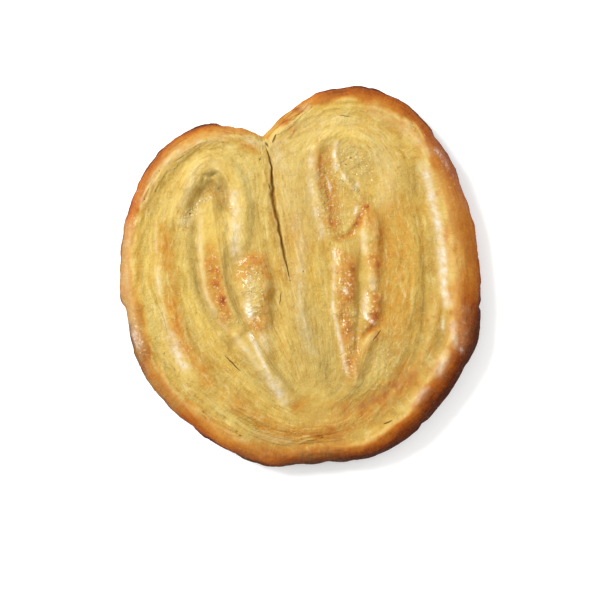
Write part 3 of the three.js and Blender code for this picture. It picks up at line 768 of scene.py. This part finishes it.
# %% Numbers and faces
def grid_numbers(rows, start):
    """The number of each corner, with those that share a place given the same one."""
    columns = 4 * TURNS
    i, j = np.meshgrid(np.arange(columns + 1), np.arange(rows + 1), indexing="ij")
    side, k = np.sign(i - 2 * TURNS), np.abs(i - 2 * TURNS)
    k = np.where((j == rows) & (k > TURNS), 2 * TURNS - k, k)
    join = k == 2 * TURNS
    k, jj = np.where(join, 0, k), np.where(join, rows, j)
    on_seam = (jj == 0) & (k >= round(2 * TURNS * NOTCH_TURN))
    side = np.where(on_seam | (k == 0), -1, side)
    return start + (2 * TURNS + side * k) * (rows + 1) + jj


def triangles(n):
    """The cells of a grid of numbers, each cut along the diagonal from its first corner."""
    a, b, c, d = n[:-1, :-1], n[1:, :-1], n[1:, 1:], n[:-1, 1:]
    return np.concatenate([np.stack([a, b, c], -1).reshape(-1, 3), np.stack([a, c, d], -1).reshape(-1, 3)])


def grid_faces(number, flip):
    """Two triangles for each cell of the grid, without those that have shrunk to nothing, and beside them
    each triangle's own corners before they were joined, for the UV map and the fields."""
    own = np.arange(number.size).reshape(number.shape)
    faces, owns = triangles(number), triangles(own)
    whole = (faces[:, 0] != faces[:, 1]) & (faces[:, 1] != faces[:, 2]) & (faces[:, 2] != faces[:, 0])
    faces, owns = faces[whole], owns[whole]
    return (faces[:, ::-1], owns[:, ::-1]) if flip else (faces, owns)


def make_mesh(name, verts, faces, attributes=None, uv=None, smooth=True):
    """Puts arrays into a mesh: corners in metres, faces, numbers kept at the corners, and a UV map."""
    mesh = bpy.data.meshes.new(name)
    mesh.vertices.add(len(verts))
    mesh.vertices.foreach_set("co", np.asarray(verts, np.float32).ravel())
    mesh.loops.add(faces.size)
    mesh.loops.foreach_set("vertex_index", faces.ravel().astype(np.int32))
    mesh.polygons.add(len(faces))
    mesh.polygons.foreach_set("loop_start", np.arange(0, faces.size, faces.shape[1], dtype=np.int32))
    mesh.polygons.foreach_set("use_smooth", np.full(len(faces), smooth))
    for key, values in (attributes or {}).items():
        layer = mesh.attributes.new(key, "FLOAT", "POINT")
        layer.data.foreach_set("value", np.asarray(values, np.float32).ravel())
    if uv is not None:
        mesh.uv_layers.new(name="layers").data.foreach_set("uv", np.asarray(uv, np.float32).ravel())
    mesh.update()
    mesh.validate()
    piece = bpy.data.objects.new(name, mesh)
    bpy.context.scene.collection.objects.link(piece)
    return piece


print("triangles of a grid of 3 by 4 corners", len(triangles(np.arange(12).reshape(3, 4))))

# %% [markdown]
# The two sheets are joined along the waist: the underside's outermost row takes the numbers of the top's.
# A UV map carries the turn and the depth, so that a pattern can follow the layers. The fields go along
# as attributes: numbers kept at the corners, which the material reads by name.

# %% Sew the pastry
TOP_ROWS = 119
UNDER_ROWS = 36

top = top_sheet(TOP_ROWS)
under = under_sheet(UNDER_ROWS)
top_numbers = grid_numbers(TOP_ROWS, 0)
under_numbers = grid_numbers(UNDER_ROWS, top_numbers.size)
rim_columns = np.abs(np.arange(4 * TURNS + 1) - 2 * TURNS) <= round(2 * TURNS * NOTCH_TURN)
waist = {int(u): int(t) for u, t in zip(under_numbers[rim_columns, 0], top_numbers[rim_columns, 0])}
swap = np.arange(top_numbers.size + under_numbers.size)
swap[list(waist)] = list(waist.values())

faces, corners = [], []
for numbers, start, flip in ((top_numbers, 0, False), (under_numbers, top_numbers.size, True)):
    f, own = grid_faces(numbers, flip)
    faces.append(swap[f])
    corners.append(own + start)
faces, corners = np.concatenate(faces), np.concatenate(corners)


def both(a, b):
    """The corners of the top followed by those of the underside, one to a row."""
    return np.concatenate([a.reshape(a.shape[0] * a.shape[1], -1), b.reshape(b.shape[0] * b.shape[1], -1)])


place, height, turns, depths = [both(a, b) for a, b in zip(top[:4], under[:4])]
fields = {key: both(top[4][key], under[4][key]) for key in top[4]} | {"height": height}
used, faces = np.unique(faces, return_inverse=True)
faces = faces.reshape(-1, 3)
uv = layer_place(turns[:, 0], depths[:, 0], height[:, 0])
pastry = make_mesh("pastry", np.hstack([place, height])[used] * MM, faces,
                   {key: values[used] for key, values in fields.items()}, uv[corners.ravel()])
print("pastry", len(used), "corners", len(faces), "faces")
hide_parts("palmier")
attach(pastry, "root")

# %% [markdown]
# ## Beads of glaze
# Where egg wash and sugar boiled, small bubbles have set as domes, from a third of a millimetre to one
# across, most of them small. A bump in the material would give no outline or true glint, so each is a
# dome of a few dozen faces. They sit at random on the glossy places and are joined in one mesh. Each
# takes the colour fields of the place that it sits on.

# %% Beads
# share of the beads there, half width and way of each place
BEADS = {
    "bubbles": (1.0, 1.0, [(-33.4, 15), (-32.6, 17), (-31, 19.4)]),
    "lip": (0.9, 0.35, [(-30.2, 20.6), (-27.4, 22), (-25, 22.8)]),
    "arch": (0.3, 0.8, [(-19.4, 22), (-18.8, 11)]),
    "tongue": (0.4, 1.6, [(-24.2, 2), (-22.6, -7), (-20, -12)]),
    "blister": (0.9, 2.0, [(-13.6, 2), (-13, -9)]),
    "west tongue": (1.0, 1.9, [(12.6, -3), (13, -9)]),
    "west tongue low": (0.4, 1.4, [(13.4, -12), (14.6, -28)]),
    "east tongue": (0.5, 1.2, [(19.8, -5), (19.8, -12)]),
    "pool": (1.0, 2.6, [(8, 29), (8.6, 20), (11, 14)]),
    "pool head": (0.7, 1.4, [(13, 27), (17.6, 21.4), (16, 16)]),
    "coil": (0.6, 3.4, [(14.6, 34), (18, 31)]),
    "right field": (0.35, 4.0, [(26, -18), (24, -28)]),
    "left fold": (0.15, 2.0, [(-37, -8), (-29, -27)]),
}
BEAD_COUNT = 2600
BEAD_SIDES, BEAD_RINGS = 8, 3
BEAD_SUNK = 0.34


def dome(sides, rings):
    """A half ball of radius 1 with its pole, as corners and as triangles."""
    a = np.arange(sides) * 2 * np.pi / sides
    b = np.arange(rings) * np.pi / 2 / rings
    ring = np.stack([np.cos(a) * np.cos(b)[:, None], np.sin(a) * np.cos(b)[:, None],
                     np.sin(b)[:, None] + 0 * a], -1).reshape(-1, 3)
    i = np.arange(sides)
    j = (i + 1) % sides
    low = np.arange(rings - 1)[:, None] * sides
    high = low + sides
    walls = np.stack([low + i, low + j, high + j, low + i, high + j, high + i], -1).reshape(-1, 3)
    last = (rings - 1) * sides
    cap = np.stack([last + i, last + j, 0 * i + rings * sides], -1)
    base = np.stack([0 * i[2:], i[2:], i[1:-1]], -1)
    return np.vstack([ring, [(0, 0, 1)]]), np.vstack([walls, cap, base])


def scatter(sheet, strokes, count, seed):
    """Numbers of corners of the sheet, drawn at random in proportion to painted strokes and to area."""
    p = sheet[0]
    area = np.abs(np.cross(np.gradient(p, axis=0), np.gradient(p, axis=1)))
    weight = (painted(p, strokes) ** 2 * area).ravel()
    return np.random.default_rng(seed).choice(weight.size, count, False, weight / weight.sum())


def beads():
    """Domes half as high as they are wide, sunk by a third of their radius."""
    chosen = scatter(top, BEADS, BEAD_COUNT, 51)
    rng = np.random.default_rng(52)
    radius = 0.16 + 0.45 * rng.random(BEAD_COUNT) ** 4
    middle = np.hstack([top[0].reshape(-1, 2), top[1].reshape(-1, 1)])[chosen]
    middle[:, 2] -= BEAD_SUNK * radius
    shape, dome_faces = dome(BEAD_SIDES, BEAD_RINGS)
    verts = middle[:, None] + radius[:, None, None] * shape * (1, 1, 0.5)
    faces = np.arange(BEAD_COUNT)[:, None, None] * len(shape) + dome_faces

    def spread(values):
        return np.repeat(values[chosen], len(shape), 0)

    own = {key: spread(both(top[4][key], under[4][key])[:, 0]) for key in top[4]}
    own |= {"height": verts[..., 2].ravel() + 1, "gloss": np.ones(verts.shape[0] * verts.shape[1])}
    faces = faces.reshape(-1, 3)
    return make_mesh("glaze_beads", verts.reshape(-1, 3) * MM, faces, own, spread(uv)[faces.ravel()])


glaze = beads()
print("beads", BEAD_COUNT, "faces", len(glaze.data.polygons))
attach(glaze, "root")

# %% [markdown]
# ## Lifted flakes
# Here and there the edge of a leaf has come loose. Each flake is a strip of the top's own grid, tapered at
# its ends, whose free side is lifted by up to a fifth of a millimetre. A strip with no thickness would
# look like paper and isn't closed, so it is the upper side of a thin slab.

# %% Flakes
# share of the flakes there, half width and way of each place
FLAKES = {
    "notch": (0.9, 1.6, [(-16, 39.8), (-12.4, 38.6)]),
    "notch right": (0.8, 1.6, [(-5, 45), (0, 47.8)]),
    "left brow": (0.4, 2.6, [(-42, 26), (-32, 37), (-20, 40)]),
    "foot": (0.5, 2.2, [(-24, -41), (-6, -46), (8, -46)]),
    "left": (0.2, 3.0, [(-44, 6), (-41, -14), (-33, -30)]),
}
FLAKE_COUNT = 60
FLAKE_GRID = (12, 4)
# how far a flake's upper side stands over the top and its lower side lies under it, in mm
FLAKE_OVER, FLAKE_UNDER = 0.03, 0.12


def pick(grid, i, j):
    """The value of a grid between its corners, mixed first along and then across."""
    a = np.clip(np.floor(i).astype(int), 0, grid.shape[0] - 2)
    b = np.clip(np.floor(j).astype(int), 0, grid.shape[1] - 2)
    f, g = i - a, j - b
    if grid.ndim == 3:
        f, g = f[..., None], g[..., None]
    return mix(mix(grid[a, b], grid[a + 1, b], f), mix(grid[a, b + 1], grid[a + 1, b + 1], f), g)


def flake_patches():
    """Where each flake's corners lie on the top's grid, by column and row, and how far each is lifted: most
    at the free side's middle, and not at all at the rooted side and the ends."""
    rng = np.random.default_rng(62)
    column, row = np.unravel_index(scatter(top, FLAKES, FLAKE_COUNT, 61), top[1].shape)
    length = rng.uniform(5, 16, FLAKE_COUNT)
    width = rng.uniform(1.6, 4.5, FLAKE_COUNT) * rng.choice((-1, 1), FLAKE_COUNT)
    lift = rng.uniform(0.05, 0.2, FLAKE_COUNT)
    column, row, length, width, lift = (v[:, None, None] for v in (column, row, length, width, lift))
    a = np.linspace(0, 1, FLAKE_GRID[0] + 1)[None, :, None]
    b = np.linspace(0, 1, FLAKE_GRID[1] + 1)[None, None, :]
    taper = np.sin(np.pi * a) ** 0.6
    ragged_side = 1 + 0.25 * grain(a * 9, column * 1.7 + 0 * b, 63)
    i = column + length * (a - 0.5) + 0 * b
    j = row + width * b * taper * ragged_side
    last_i, last_j = top[1].shape[0] - 1.001, top[1].shape[1] - 1.001
    return np.clip(i, 0, last_i), np.clip(j, 0.5, last_j), lift * taper * b**1.4


def slab(rows, columns):
    """Triangles of a thin slab: an upper grid, a lower one turned over, and a wall round their edge."""
    number = np.arange(2 * rows * columns).reshape(2, rows, columns)
    upper, lower = [np.stack([n[:-1, :-1], n[1:, :-1], n[1:, 1:], n[:-1, 1:]], -1).reshape(-1, 4)
                    for n in number]
    n = number[0]
    loop = np.r_[n[:, 0], n[-1, 1:], n[-2::-1, -1], n[0, -2:0:-1]]
    after = np.roll(loop, -1)
    wall = np.stack([loop, loop + rows * columns, after + rows * columns, after], -1)
    quads = np.concatenate([upper, lower[:, ::-1], wall])
    return np.concatenate([quads[:, :3], quads[:, [0, 2, 3]]])


def flakes():
    """Each flake's upper side stands a little over the top, and its lower side runs under it."""
    i, j, lift = flake_patches()
    across, z = pick(top[0], i, j), pick(top[1], i, j)
    heights = (z + FLAKE_OVER + lift, z - FLAKE_UNDER)
    sides = [np.concatenate([across, h[..., None]], -1) for h in heights]
    verts = np.stack(sides, 1)
    corners_each = verts[0, ..., 0].size
    faces = np.arange(FLAKE_COUNT)[:, None, None] * corners_each + slab(*verts.shape[2:4])
    faces = faces.reshape(-1, 3)
    own = {key: np.stack([pick(values, i, j)] * 2, 1).ravel() for key, values in top[4].items()}
    own["height"] = verts[..., 2].ravel()
    own_uv = np.stack([pick(layer_place(top[2], top[3], top[1]), i, j)] * 2, 1).reshape(-1, 2)
    return make_mesh("flakes", verts.reshape(-1, 3) * MM, faces, own, own_uv[faces.ravel()])


loose = flakes()
print("flakes", FLAKE_COUNT, "faces", len(loose.data.polygons))
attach(loose, "root")

# %% [markdown]
# ## A shorthand for shader maths
# A material is a net of nodes. Written out one by one it is long and hard to read, so a small class wraps
# a socket: adding or multiplying two of them adds the Math node that does it.

# %% Shader shorthand
def operator(operation, reflected=False):
    """A method that adds a Math node for a Python operator. Reflected, the other value comes first, as in
    1 - mask."""

    def method(self, other):
        values = (other, self) if reflected else (self, other)
        return self.math(operation, *values)

    return method


class Socket:
    """One output of a node. Sums and products with numbers or other sockets add Math nodes."""

    __add__, __radd__ = operator("ADD"), operator("ADD", True)
    __sub__, __rsub__ = operator("SUBTRACT"), operator("SUBTRACT", True)
    __mul__, __rmul__ = operator("MULTIPLY"), operator("MULTIPLY", True)
    __truediv__, __pow__ = operator("DIVIDE"), operator("POWER")
    most, least = operator("MAXIMUM"), operator("MINIMUM")

    def __init__(self, tree, out):
        self.tree, self.out = tree, out

    def math(self, operation, *values):
        return self.tree.node("ShaderNodeMath", {"operation": operation}, dict(enumerate(values)))

    def rise(self, low, high):
        """0 below low, 1 above high, and smooth between."""
        return self.tree.node("ShaderNodeMapRange", {"interpolation_type": "SMOOTHSTEP"},
                              {"Value": self, "From Min": low, "From Max": high})


class Tree:
    """A material's net of nodes, with one method for any node."""

    def __init__(self, name):
        self.material = bpy.data.materials.new(name)
        self.material.use_nodes = True
        self.tree = self.material.node_tree
        self.tree.nodes.clear()

    def node(self, kind, settings=None, inputs=None, out=0):
        """Adds a node of a kind: its settings first, then the values or links of its sockets."""
        made = self.tree.nodes.new(kind)
        for key, value in (settings or {}).items():
            if key == "stops":
                ramp = made.color_ramp
                while len(ramp.elements) < len(value):
                    ramp.elements.new(0.5)
                for stop, (at, colour) in zip(ramp.elements, value):
                    stop.position, stop.color = at, colour
            else:
                setattr(made, key, value)
        for key, value in (inputs or {}).items():
            if isinstance(value, Socket):
                self.tree.links.new(value.out, made.inputs[key])
            else:
                made.inputs[key].default_value = value
        return Socket(self, made.outputs[out]) if len(made.outputs) else None

    def noise(self, where, scale, detail=2, rough=0.5):
        return self.node("ShaderNodeTexNoise", None,
                         {"Vector": where, "Scale": scale, "Detail": detail, "Roughness": rough})

    def vector(self, operation, first, second, out=0):
        return self.node("ShaderNodeVectorMath", {"operation": operation}, {0: first, 1: second}, out)

    def stretched(self, where, *scales):
        return self.vector("MULTIPLY", where, scales)

    def shifted(self, where, by, scale):
        return self.node("ShaderNodeVectorMath", {"operation": "MULTIPLY_ADD"}, {0: by, 1: scale, 2: where})

    def blend(self, factor, a, b, kind="MIX"):
        return self.node("ShaderNodeMix", {"data_type": "RGBA", "blend_type": kind},
                         {"Factor": factor, 6: a, 7: b}, out=2)


def srgb(*channels):
    """A colour as seen on a screen, 0 to 255, turned to the light that it stands for."""
    c = np.array(channels) / 255
    return (*(float(v) for v in np.where(c <= 0.04045, c / 12.92, ((c + 0.055) / 1.055) ** 2.4)), 1.0)


print("mid grey as light", round(srgb(128, 128, 128)[0], 3))

# %% [markdown]
# ## The baked dough
# One material serves the whole pastry, as it is all one dough. It reads two kinds of thing: the fields of
# the mesh, which say where it is brown, shiny or pale, and noises, which give the grain. Streaks that
# follow the layers come from noise on the UV map, stretched along. Blotches and specks come from noise on
# the place itself, since the oven's heat doesn't follow the layers.

# %% Fields and noises
dough = Tree("baked_dough")
place_in = dough.node("ShaderNodeTexCoord", out="Object")
layers_uv = dough.node("ShaderNodeUVMap", {"uv_map": "layers"})


def field(name):
    """A field of the mesh, by its name."""
    return dough.node("ShaderNodeAttribute", {"attribute_name": name}, out="Fac")


brown_in, gloss_in, pale_highlight_in, painted_glint_in = map(field, ("brown", "gloss", "pale", "frost"))
dull_shade_in, yellow_in, leaf_in = map(field, ("dull", "yellow", "leaf"))
hollow_in, height_in, calm = map(field, ("hollow", "height", "calm"))

wander = dough.noise(place_in, 150, 3, 0.6)
shift = dough.node("ShaderNodeCombineXYZ", None, {"X": 0.0, "Y": 0.09 * (wander - 0.5)})
wound = dough.vector("ADD", layers_uv, shift)
bands = dough.noise(dough.stretched(wound, 7, 9, 1), 1, 3, 0.6)
streaks = dough.noise(dough.stretched(wound, 46, 28, 1), 1, 4, 0.65)
threads = dough.noise(dough.stretched(wound, 110, 80, 1), 1, 2, 0.6)
weave = dough.noise(dough.stretched(wound, 520, 9, 1), 1, 3, 0.6)
fibres = dough.noise(dough.stretched(wound, 300, 6, 1), 1, 3, 0.6)
blotches = dough.noise(place_in, 130, 3, 0.55)
patches = dough.noise(place_in, 420, 3, 0.6)
speckles = dough.noise(place_in, 1100, 3, 0.6)
pores = dough.noise(place_in, 2600, 2, 0.5)
print("noises and fields", len(dough.tree.nodes), "nodes")

# %% [markdown]
# Unbaked layers are pale cream. Heat turns them yellow, golden, orange-brown and at last deep brown, so one
# ramp of colours over the browning gives them all. The browning is the painted field plus a little of each
# noise, so that no stain is even. Where glaze covers the layers, they show less.

# %% Browning
crusty = brown_in.rise(0.2, 0.6)
bare = 1 - brown_in.rise(0.15, 0.45)
layered = calm * (1 - 0.7 * gloss_in)
in_layers = (0.14 + 0.25 * brown_in) * (streaks - 0.5) + 0.16 * (bands - 0.5) + 0.06 * (threads - 0.5)
in_spots = 0.22 * (blotches - 0.5) + 0.16 * (patches - 0.5) + 0.12 * (speckles - 0.5)
browned = (brown_in + in_spots - 0.10 * leaf_in + layered * in_layers
           + 0.2 * crusty * (fibres - 0.5) + 0.19)
crust_colour = dough.node("ShaderNodeValToRGB", {"stops": [
    (0.00, srgb(240, 220, 156)), (0.12, srgb(230, 200, 114)), (0.26, srgb(212, 170, 80)),
    (0.40, srgb(212, 153, 62)), (0.55, srgb(202, 128, 44)), (0.72, srgb(176, 92, 26)),
    (0.88, srgb(130, 56, 12)), (1.00, srgb(82, 33, 6))]}, {"Fac": browned})
print("with browning", len(dough.tree.nodes), "nodes")

# %% [markdown]
# The bare crumb has its own tints. Hollows get painted shade and dull places are olive, partly as painted
# shade. Crests get painted light, and yellow places are lighter. The edges of the leaves show as thin dark
# and light lines. Pale flanks get cream, partly as a painted highlight, the rim's wrinkles a painted peach
# sheen and glossy places small painted glints. Each is one more layer of colour, laid on with its own mask,
# from the widest to the smallest.

# %% Tints
HOLLOW_SHADE_COLOUR = srgb(156, 120, 44)
OLIVE = srgb(180, 152, 84)
CREST_LIGHT = srgb(246, 220, 140)
BRIGHT_YELLOW = srgb(250, 214, 104)
LEAF_SHADE = srgb(136, 104, 44)
WEAVE_SHADE = srgb(146, 112, 48)
LEAF_LIGHT = srgb(248, 230, 166)
FLECK = srgb(250, 232, 160)
SHEEN_PEACH = srgb(240, 180, 124)
HIGHLIGHT_CREAM, HIGHLIGHT_WHITE = srgb(250, 228, 160), srgb(254, 246, 236)
GLINT = srgb(255, 230, 176)

# painted shade in hollows
hollow_shade = hollow_in.rise(0.1, 0.75) * (0.4 + 0.6 * bare)
# painted light on crests
crest = (0 - hollow_in).rise(0.04, 0.5) * bare
dark_lines = streaks.rise(0.54, 0.68) * patches.rise(0.36, 0.60) * calm * bare
light_lines = (1 - streaks.rise(0.32, 0.47)) * calm * bare
woven = (weave.rise(0.54, 0.72) + speckles.rise(0.60, 0.75)) * bare
# painted sheen: peach highlights on the rim's wrinkles
painted_sheen = fibres.rise(0.54, 0.70) * patches.rise(0.46, 0.62) * crusty
# painted glints: small bright specks on glossy places
glints = dough.noise(place_in, 1150, 1, 0.5).rise(0.60, 0.70) * gloss_in
# cream of pale skin and of the painted highlight, whiter where the field is strongest
highlight_cream = dough.blend(pale_highlight_in, HIGHLIGHT_CREAM, HIGHLIGHT_WHITE)

colour = crust_colour
for mask, tint in (
        (hollow_shade * 0.55, HOLLOW_SHADE_COLOUR), (dull_shade_in * 0.75, OLIVE), (crest * 0.45, CREST_LIGHT),
        (yellow_in * 0.55 * (0.3 + 1.4 * patches), BRIGHT_YELLOW), (dark_lines * 0.32, LEAF_SHADE),
        (woven * 0.18, WEAVE_SHADE), (light_lines * 0.34, LEAF_LIGHT),
        (speckles.rise(0.56, 0.72) * bare * 0.30, FLECK), (painted_sheen * 0.2, SHEEN_PEACH),
        (pale_highlight_in * 0.9 * (0.3 + 1.3 * patches), highlight_cream), (glints * 0.7, GLINT)):
    colour = dough.blend(mask, colour, tint)
print("with tints", len(dough.tree.nodes), "nodes")

# %% [markdown]
# Hair cracks and pin holes are a few tenths of a millimetre wide, finer than the mesh, so they are drawn in
# the material: the distance to a short stretch, with a wobble so that none is straight. A net of still
# finer cracks comes from the borders of Voronoi cells.

# %% Hair cracks
# both ends and half width, in mm
CRACKS = [
    ((-21.5, -22.7), (-17, -27.3), 0.17), ((-9.9, 38.4), (-9.1, 37.2), 0.24),
    ((-6.9, 40.8), (-7.8, 38.6), 0.26), ((-5.4, -4.5), (-5.8, -8), 0.11),
    ((23.2, -15.4), (20.9, -18.5), 0.16), ((23.8, -42.3), (26.4, -41.2), 0.2),
    ((11.5, 46.3), (14.5, 46), 0.09), ((14.55, 34.2), (14.6, 34.1), 0.36),
    ((13.3, 32.3), (13.2, 32.1), 0.28), ((12.3, 27.3), (12.4, 27.2), 0.24),
    ((-31.7, 18.4), (-31.6, 18), 0.32), ((-9, 26.8), (-8.5, 25), 0.14),
    ((0.9, 1.5), (1, 1.3), 0.2), ((-2.9, -0.8), (-2.8, -1.2), 0.16)]
# how far the cracks and the net wander
WOBBLE = 0.5 * MM
NET_WOBBLE = 2.2 * MM

wobble = dough.node("ShaderNodeTexNoise", None, {"Vector": place_in, "Scale": 700, "Detail": 1}, out=1)
flat = dough.vector("SUBTRACT", dough.stretched(place_in, 1, 1, 0), (WOBBLE / 2, WOBBLE / 2, 0))
flat = dough.shifted(flat, wobble, (WOBBLE, WOBBLE, 0))


def mark(a, b, half):
    """1 within half of the stretch from a to b: the distance is taken to the nearest place along it."""
    a, b = np.array([*a, 0]) * MM, np.array([*b, 0]) * MM
    from_a = dough.vector("SUBTRACT", flat, tuple(a))
    share = dough.vector("DOT_PRODUCT", from_a, tuple((b - a) / np.dot(b - a, b - a)), 1).most(0).least(1)
    run = dough.node("ShaderNodeVectorMath", {"operation": "SCALE"}, {0: tuple(b - a), "Scale": share})
    tapered = half * MM * (1.1 - 3.2 * (share - 0.5) ** 2)
    return 1 - (dough.vector("DISTANCE", from_a, run, 1) / tapered).rise(0.3, 1.4)


cracked = mark(*CRACKS[0])
for ends in CRACKS[1:]:
    cracked = cracked.most(mark(*ends))
cracked = cracked * height_in.rise(7, 8)
colour = dough.blend(cracked * 0.8, colour, srgb(104, 72, 26))

net_place = dough.shifted(place_in, wobble, (NET_WOBBLE, NET_WOBBLE, NET_WOBBLE))
net = dough.node("ShaderNodeTexVoronoi", {"feature": "DISTANCE_TO_EDGE"},
                 {"Vector": net_place, "Scale": 620})
crazed = (1 - net.rise(0.0, 0.10)) * patches.rise(0.46, 0.62) * bare * layered
colour = dough.blend(crazed * 0.14, colour, srgb(136, 100, 40))
print("cracks", len(CRACKS))

# %% [markdown]
# The colours above are those of dough in full light, so they are scaled by the share of light that dough
# sends back. Painted white highlights go on top. Relief too fine for the mesh is a bump: leaves, crumb
# and pores, and bubbles under the glaze. Glaze is a coat over the dough, thin and uneven, and light goes a
# little way into the crumb.

# %% Relief and gloss
# share of the light that dough sends back
REFLECTS = 0.67

colour = dough.blend(1.0, colour, (REFLECTS, REFLECTS, REFLECTS, 1.0), "MULTIPLY")
# painted highlights: white glints laid on as colour
colour = dough.blend(painted_glint_in * (0.15 + 0.85 * speckles.rise(0.42, 0.6)), colour, srgb(255, 248, 238))

bubbles = dough.node("ShaderNodeTexVoronoi", {"feature": "SMOOTH_F1"},
                     {"Vector": place_in, "Scale": 1100, "Smoothness": 0.4})
leaf_relief = (streaks * 0.36 + threads * 0.16 + weave * 0.3) * layered
crumb_relief = (patches * 0.65 + fibres * crusty * 0.5
                + (speckles * 0.6 + pores * 0.16) * (1 - 0.5 * gloss_in))
relief = leaf_relief + crumb_relief + (1 - bubbles) * gloss_in * 0.5 - cracked - crazed * 0.12
bump = dough.node("ShaderNodeBump", None, {"Height": relief, "Strength": 0.8, "Distance": 0.6 * MM})
body = dough.node("ShaderNodeBsdfPrincipled", None, {
    "Base Color": colour, "Roughness": 0.76 - 0.54 * gloss_in + 0.14 * (speckles - 0.5), "Normal": bump,
    "Specular IOR Level": 0.08, "IOR": 1.42,
    "Coat Weight": gloss_in * (0.1 + 0.8 * patches), "Coat Roughness": 0.08, "Coat IOR": 1.5,
    "Subsurface Weight": 0.08, "Subsurface Radius": (1.0, 0.5, 0.2), "Subsurface Scale": 1.5 * MM})
dough.node("ShaderNodeOutputMaterial", None, {"Surface": body})
for piece in (pastry, glaze, loose):
    piece.data.materials.append(dough.material)
print("dough nodes", len(dough.tree.nodes))

# %% [markdown]
# ## Floor
# A plain white board shows the pastry's outline and takes its shadow. It glows a little, as a board under
# a softbox looks, so that the shadow stays light.

# %% Floor
FLOOR_HALF = 1.2
FLOOR_GLOW = 0.18


def floor_material():
    """White board with a faint tooth."""
    board = Tree("white_board")
    where = board.node("ShaderNodeTexCoord", out="Object")
    shade = board.blend(board.noise(where, 300, 3, 0.6), srgb(250, 250, 249), srgb(253, 253, 252))
    face = board.node("ShaderNodeBsdfPrincipled", None, {
        "Base Color": shade, "Roughness": 0.8, "Emission Color": shade, "Emission Strength": FLOOR_GLOW})
    board.node("ShaderNodeOutputMaterial", None, {"Surface": face})
    return board.material


floor_corners = FLOOR_HALF * np.array([(-1, -1, 0), (1, -1, 0), (1, 1, 0), (-1, 1, 0)])
floor = make_mesh("floor", floor_corners, np.array([(0, 1, 2, 3)]), smooth=False)
floor.data.materials.append(floor_material())
print("floor", 2 * FLOOR_HALF, "m wide")

# %% [markdown]
# ## Light
# A broad soft light from the upper left picks out the folds. A second fills in from the left, low down, and
# a third from the right, and a pale surround keeps the shadows open. Small lamps would give hard shadows
# that hide the low relief.

# %% Light
# place in metres, width in metres, power in watts
LIGHTS = {"key": ((-0.52, 0.34, 0.72), 0.34, 8.6), "window": ((-0.92, 0.08, 0.40), 0.6, 2.4),
          "fill": ((0.84, 0.44, 0.72), 1.0, 3.0)}
ROOM_LIGHT = 0.75

for name, (place_of_light, size, power) in LIGHTS.items():
    data = bpy.data.lights.new(name, "AREA")
    data.shape, data.size, data.energy = "DISK", size, power
    light = bpy.data.objects.new(name, data)
    bpy.context.scene.collection.objects.link(light)
    light.location = place_of_light
    light.rotation_euler = (-light.location).to_track_quat("-Z", "Y").to_euler()

world = bpy.data.worlds.new("room")
world.use_nodes = True
world.node_tree.nodes["Background"].inputs["Color"].default_value = (1, 1, 1, 1)
world.node_tree.nodes["Background"].inputs["Strength"].default_value = ROOM_LIGHT
bpy.context.scene.world = world
bpy.context.scene.view_settings.view_transform = "Standard"
print("lights", list(LIGHTS))

# %% [markdown]
# ## Camera
# The camera looks straight down from far enough off that the rim's sides stay hidden, as when a pastry is
# laid on a table and looked at from above. Its height follows from how wide a field the lens has to show.

# %% Camera
# width that is shown, focal length in mm, and the place looked at
FIELD = 174 * MM
LENS = 110
LOOK_AT = (0, -6.7 * MM, 6 * MM)

lens = bpy.data.cameras.new("camera")
lens.lens = LENS
camera = bpy.data.objects.new("camera", lens)
bpy.context.scene.collection.objects.link(camera)
camera.location = (LOOK_AT[0], LOOK_AT[1], LOOK_AT[2] + FIELD * LENS / lens.sensor_width)
camera.rotation_euler = (0, 0, 0)
bpy.context.scene.camera = camera
print("camera height", round(camera.location.z, 3), "m")
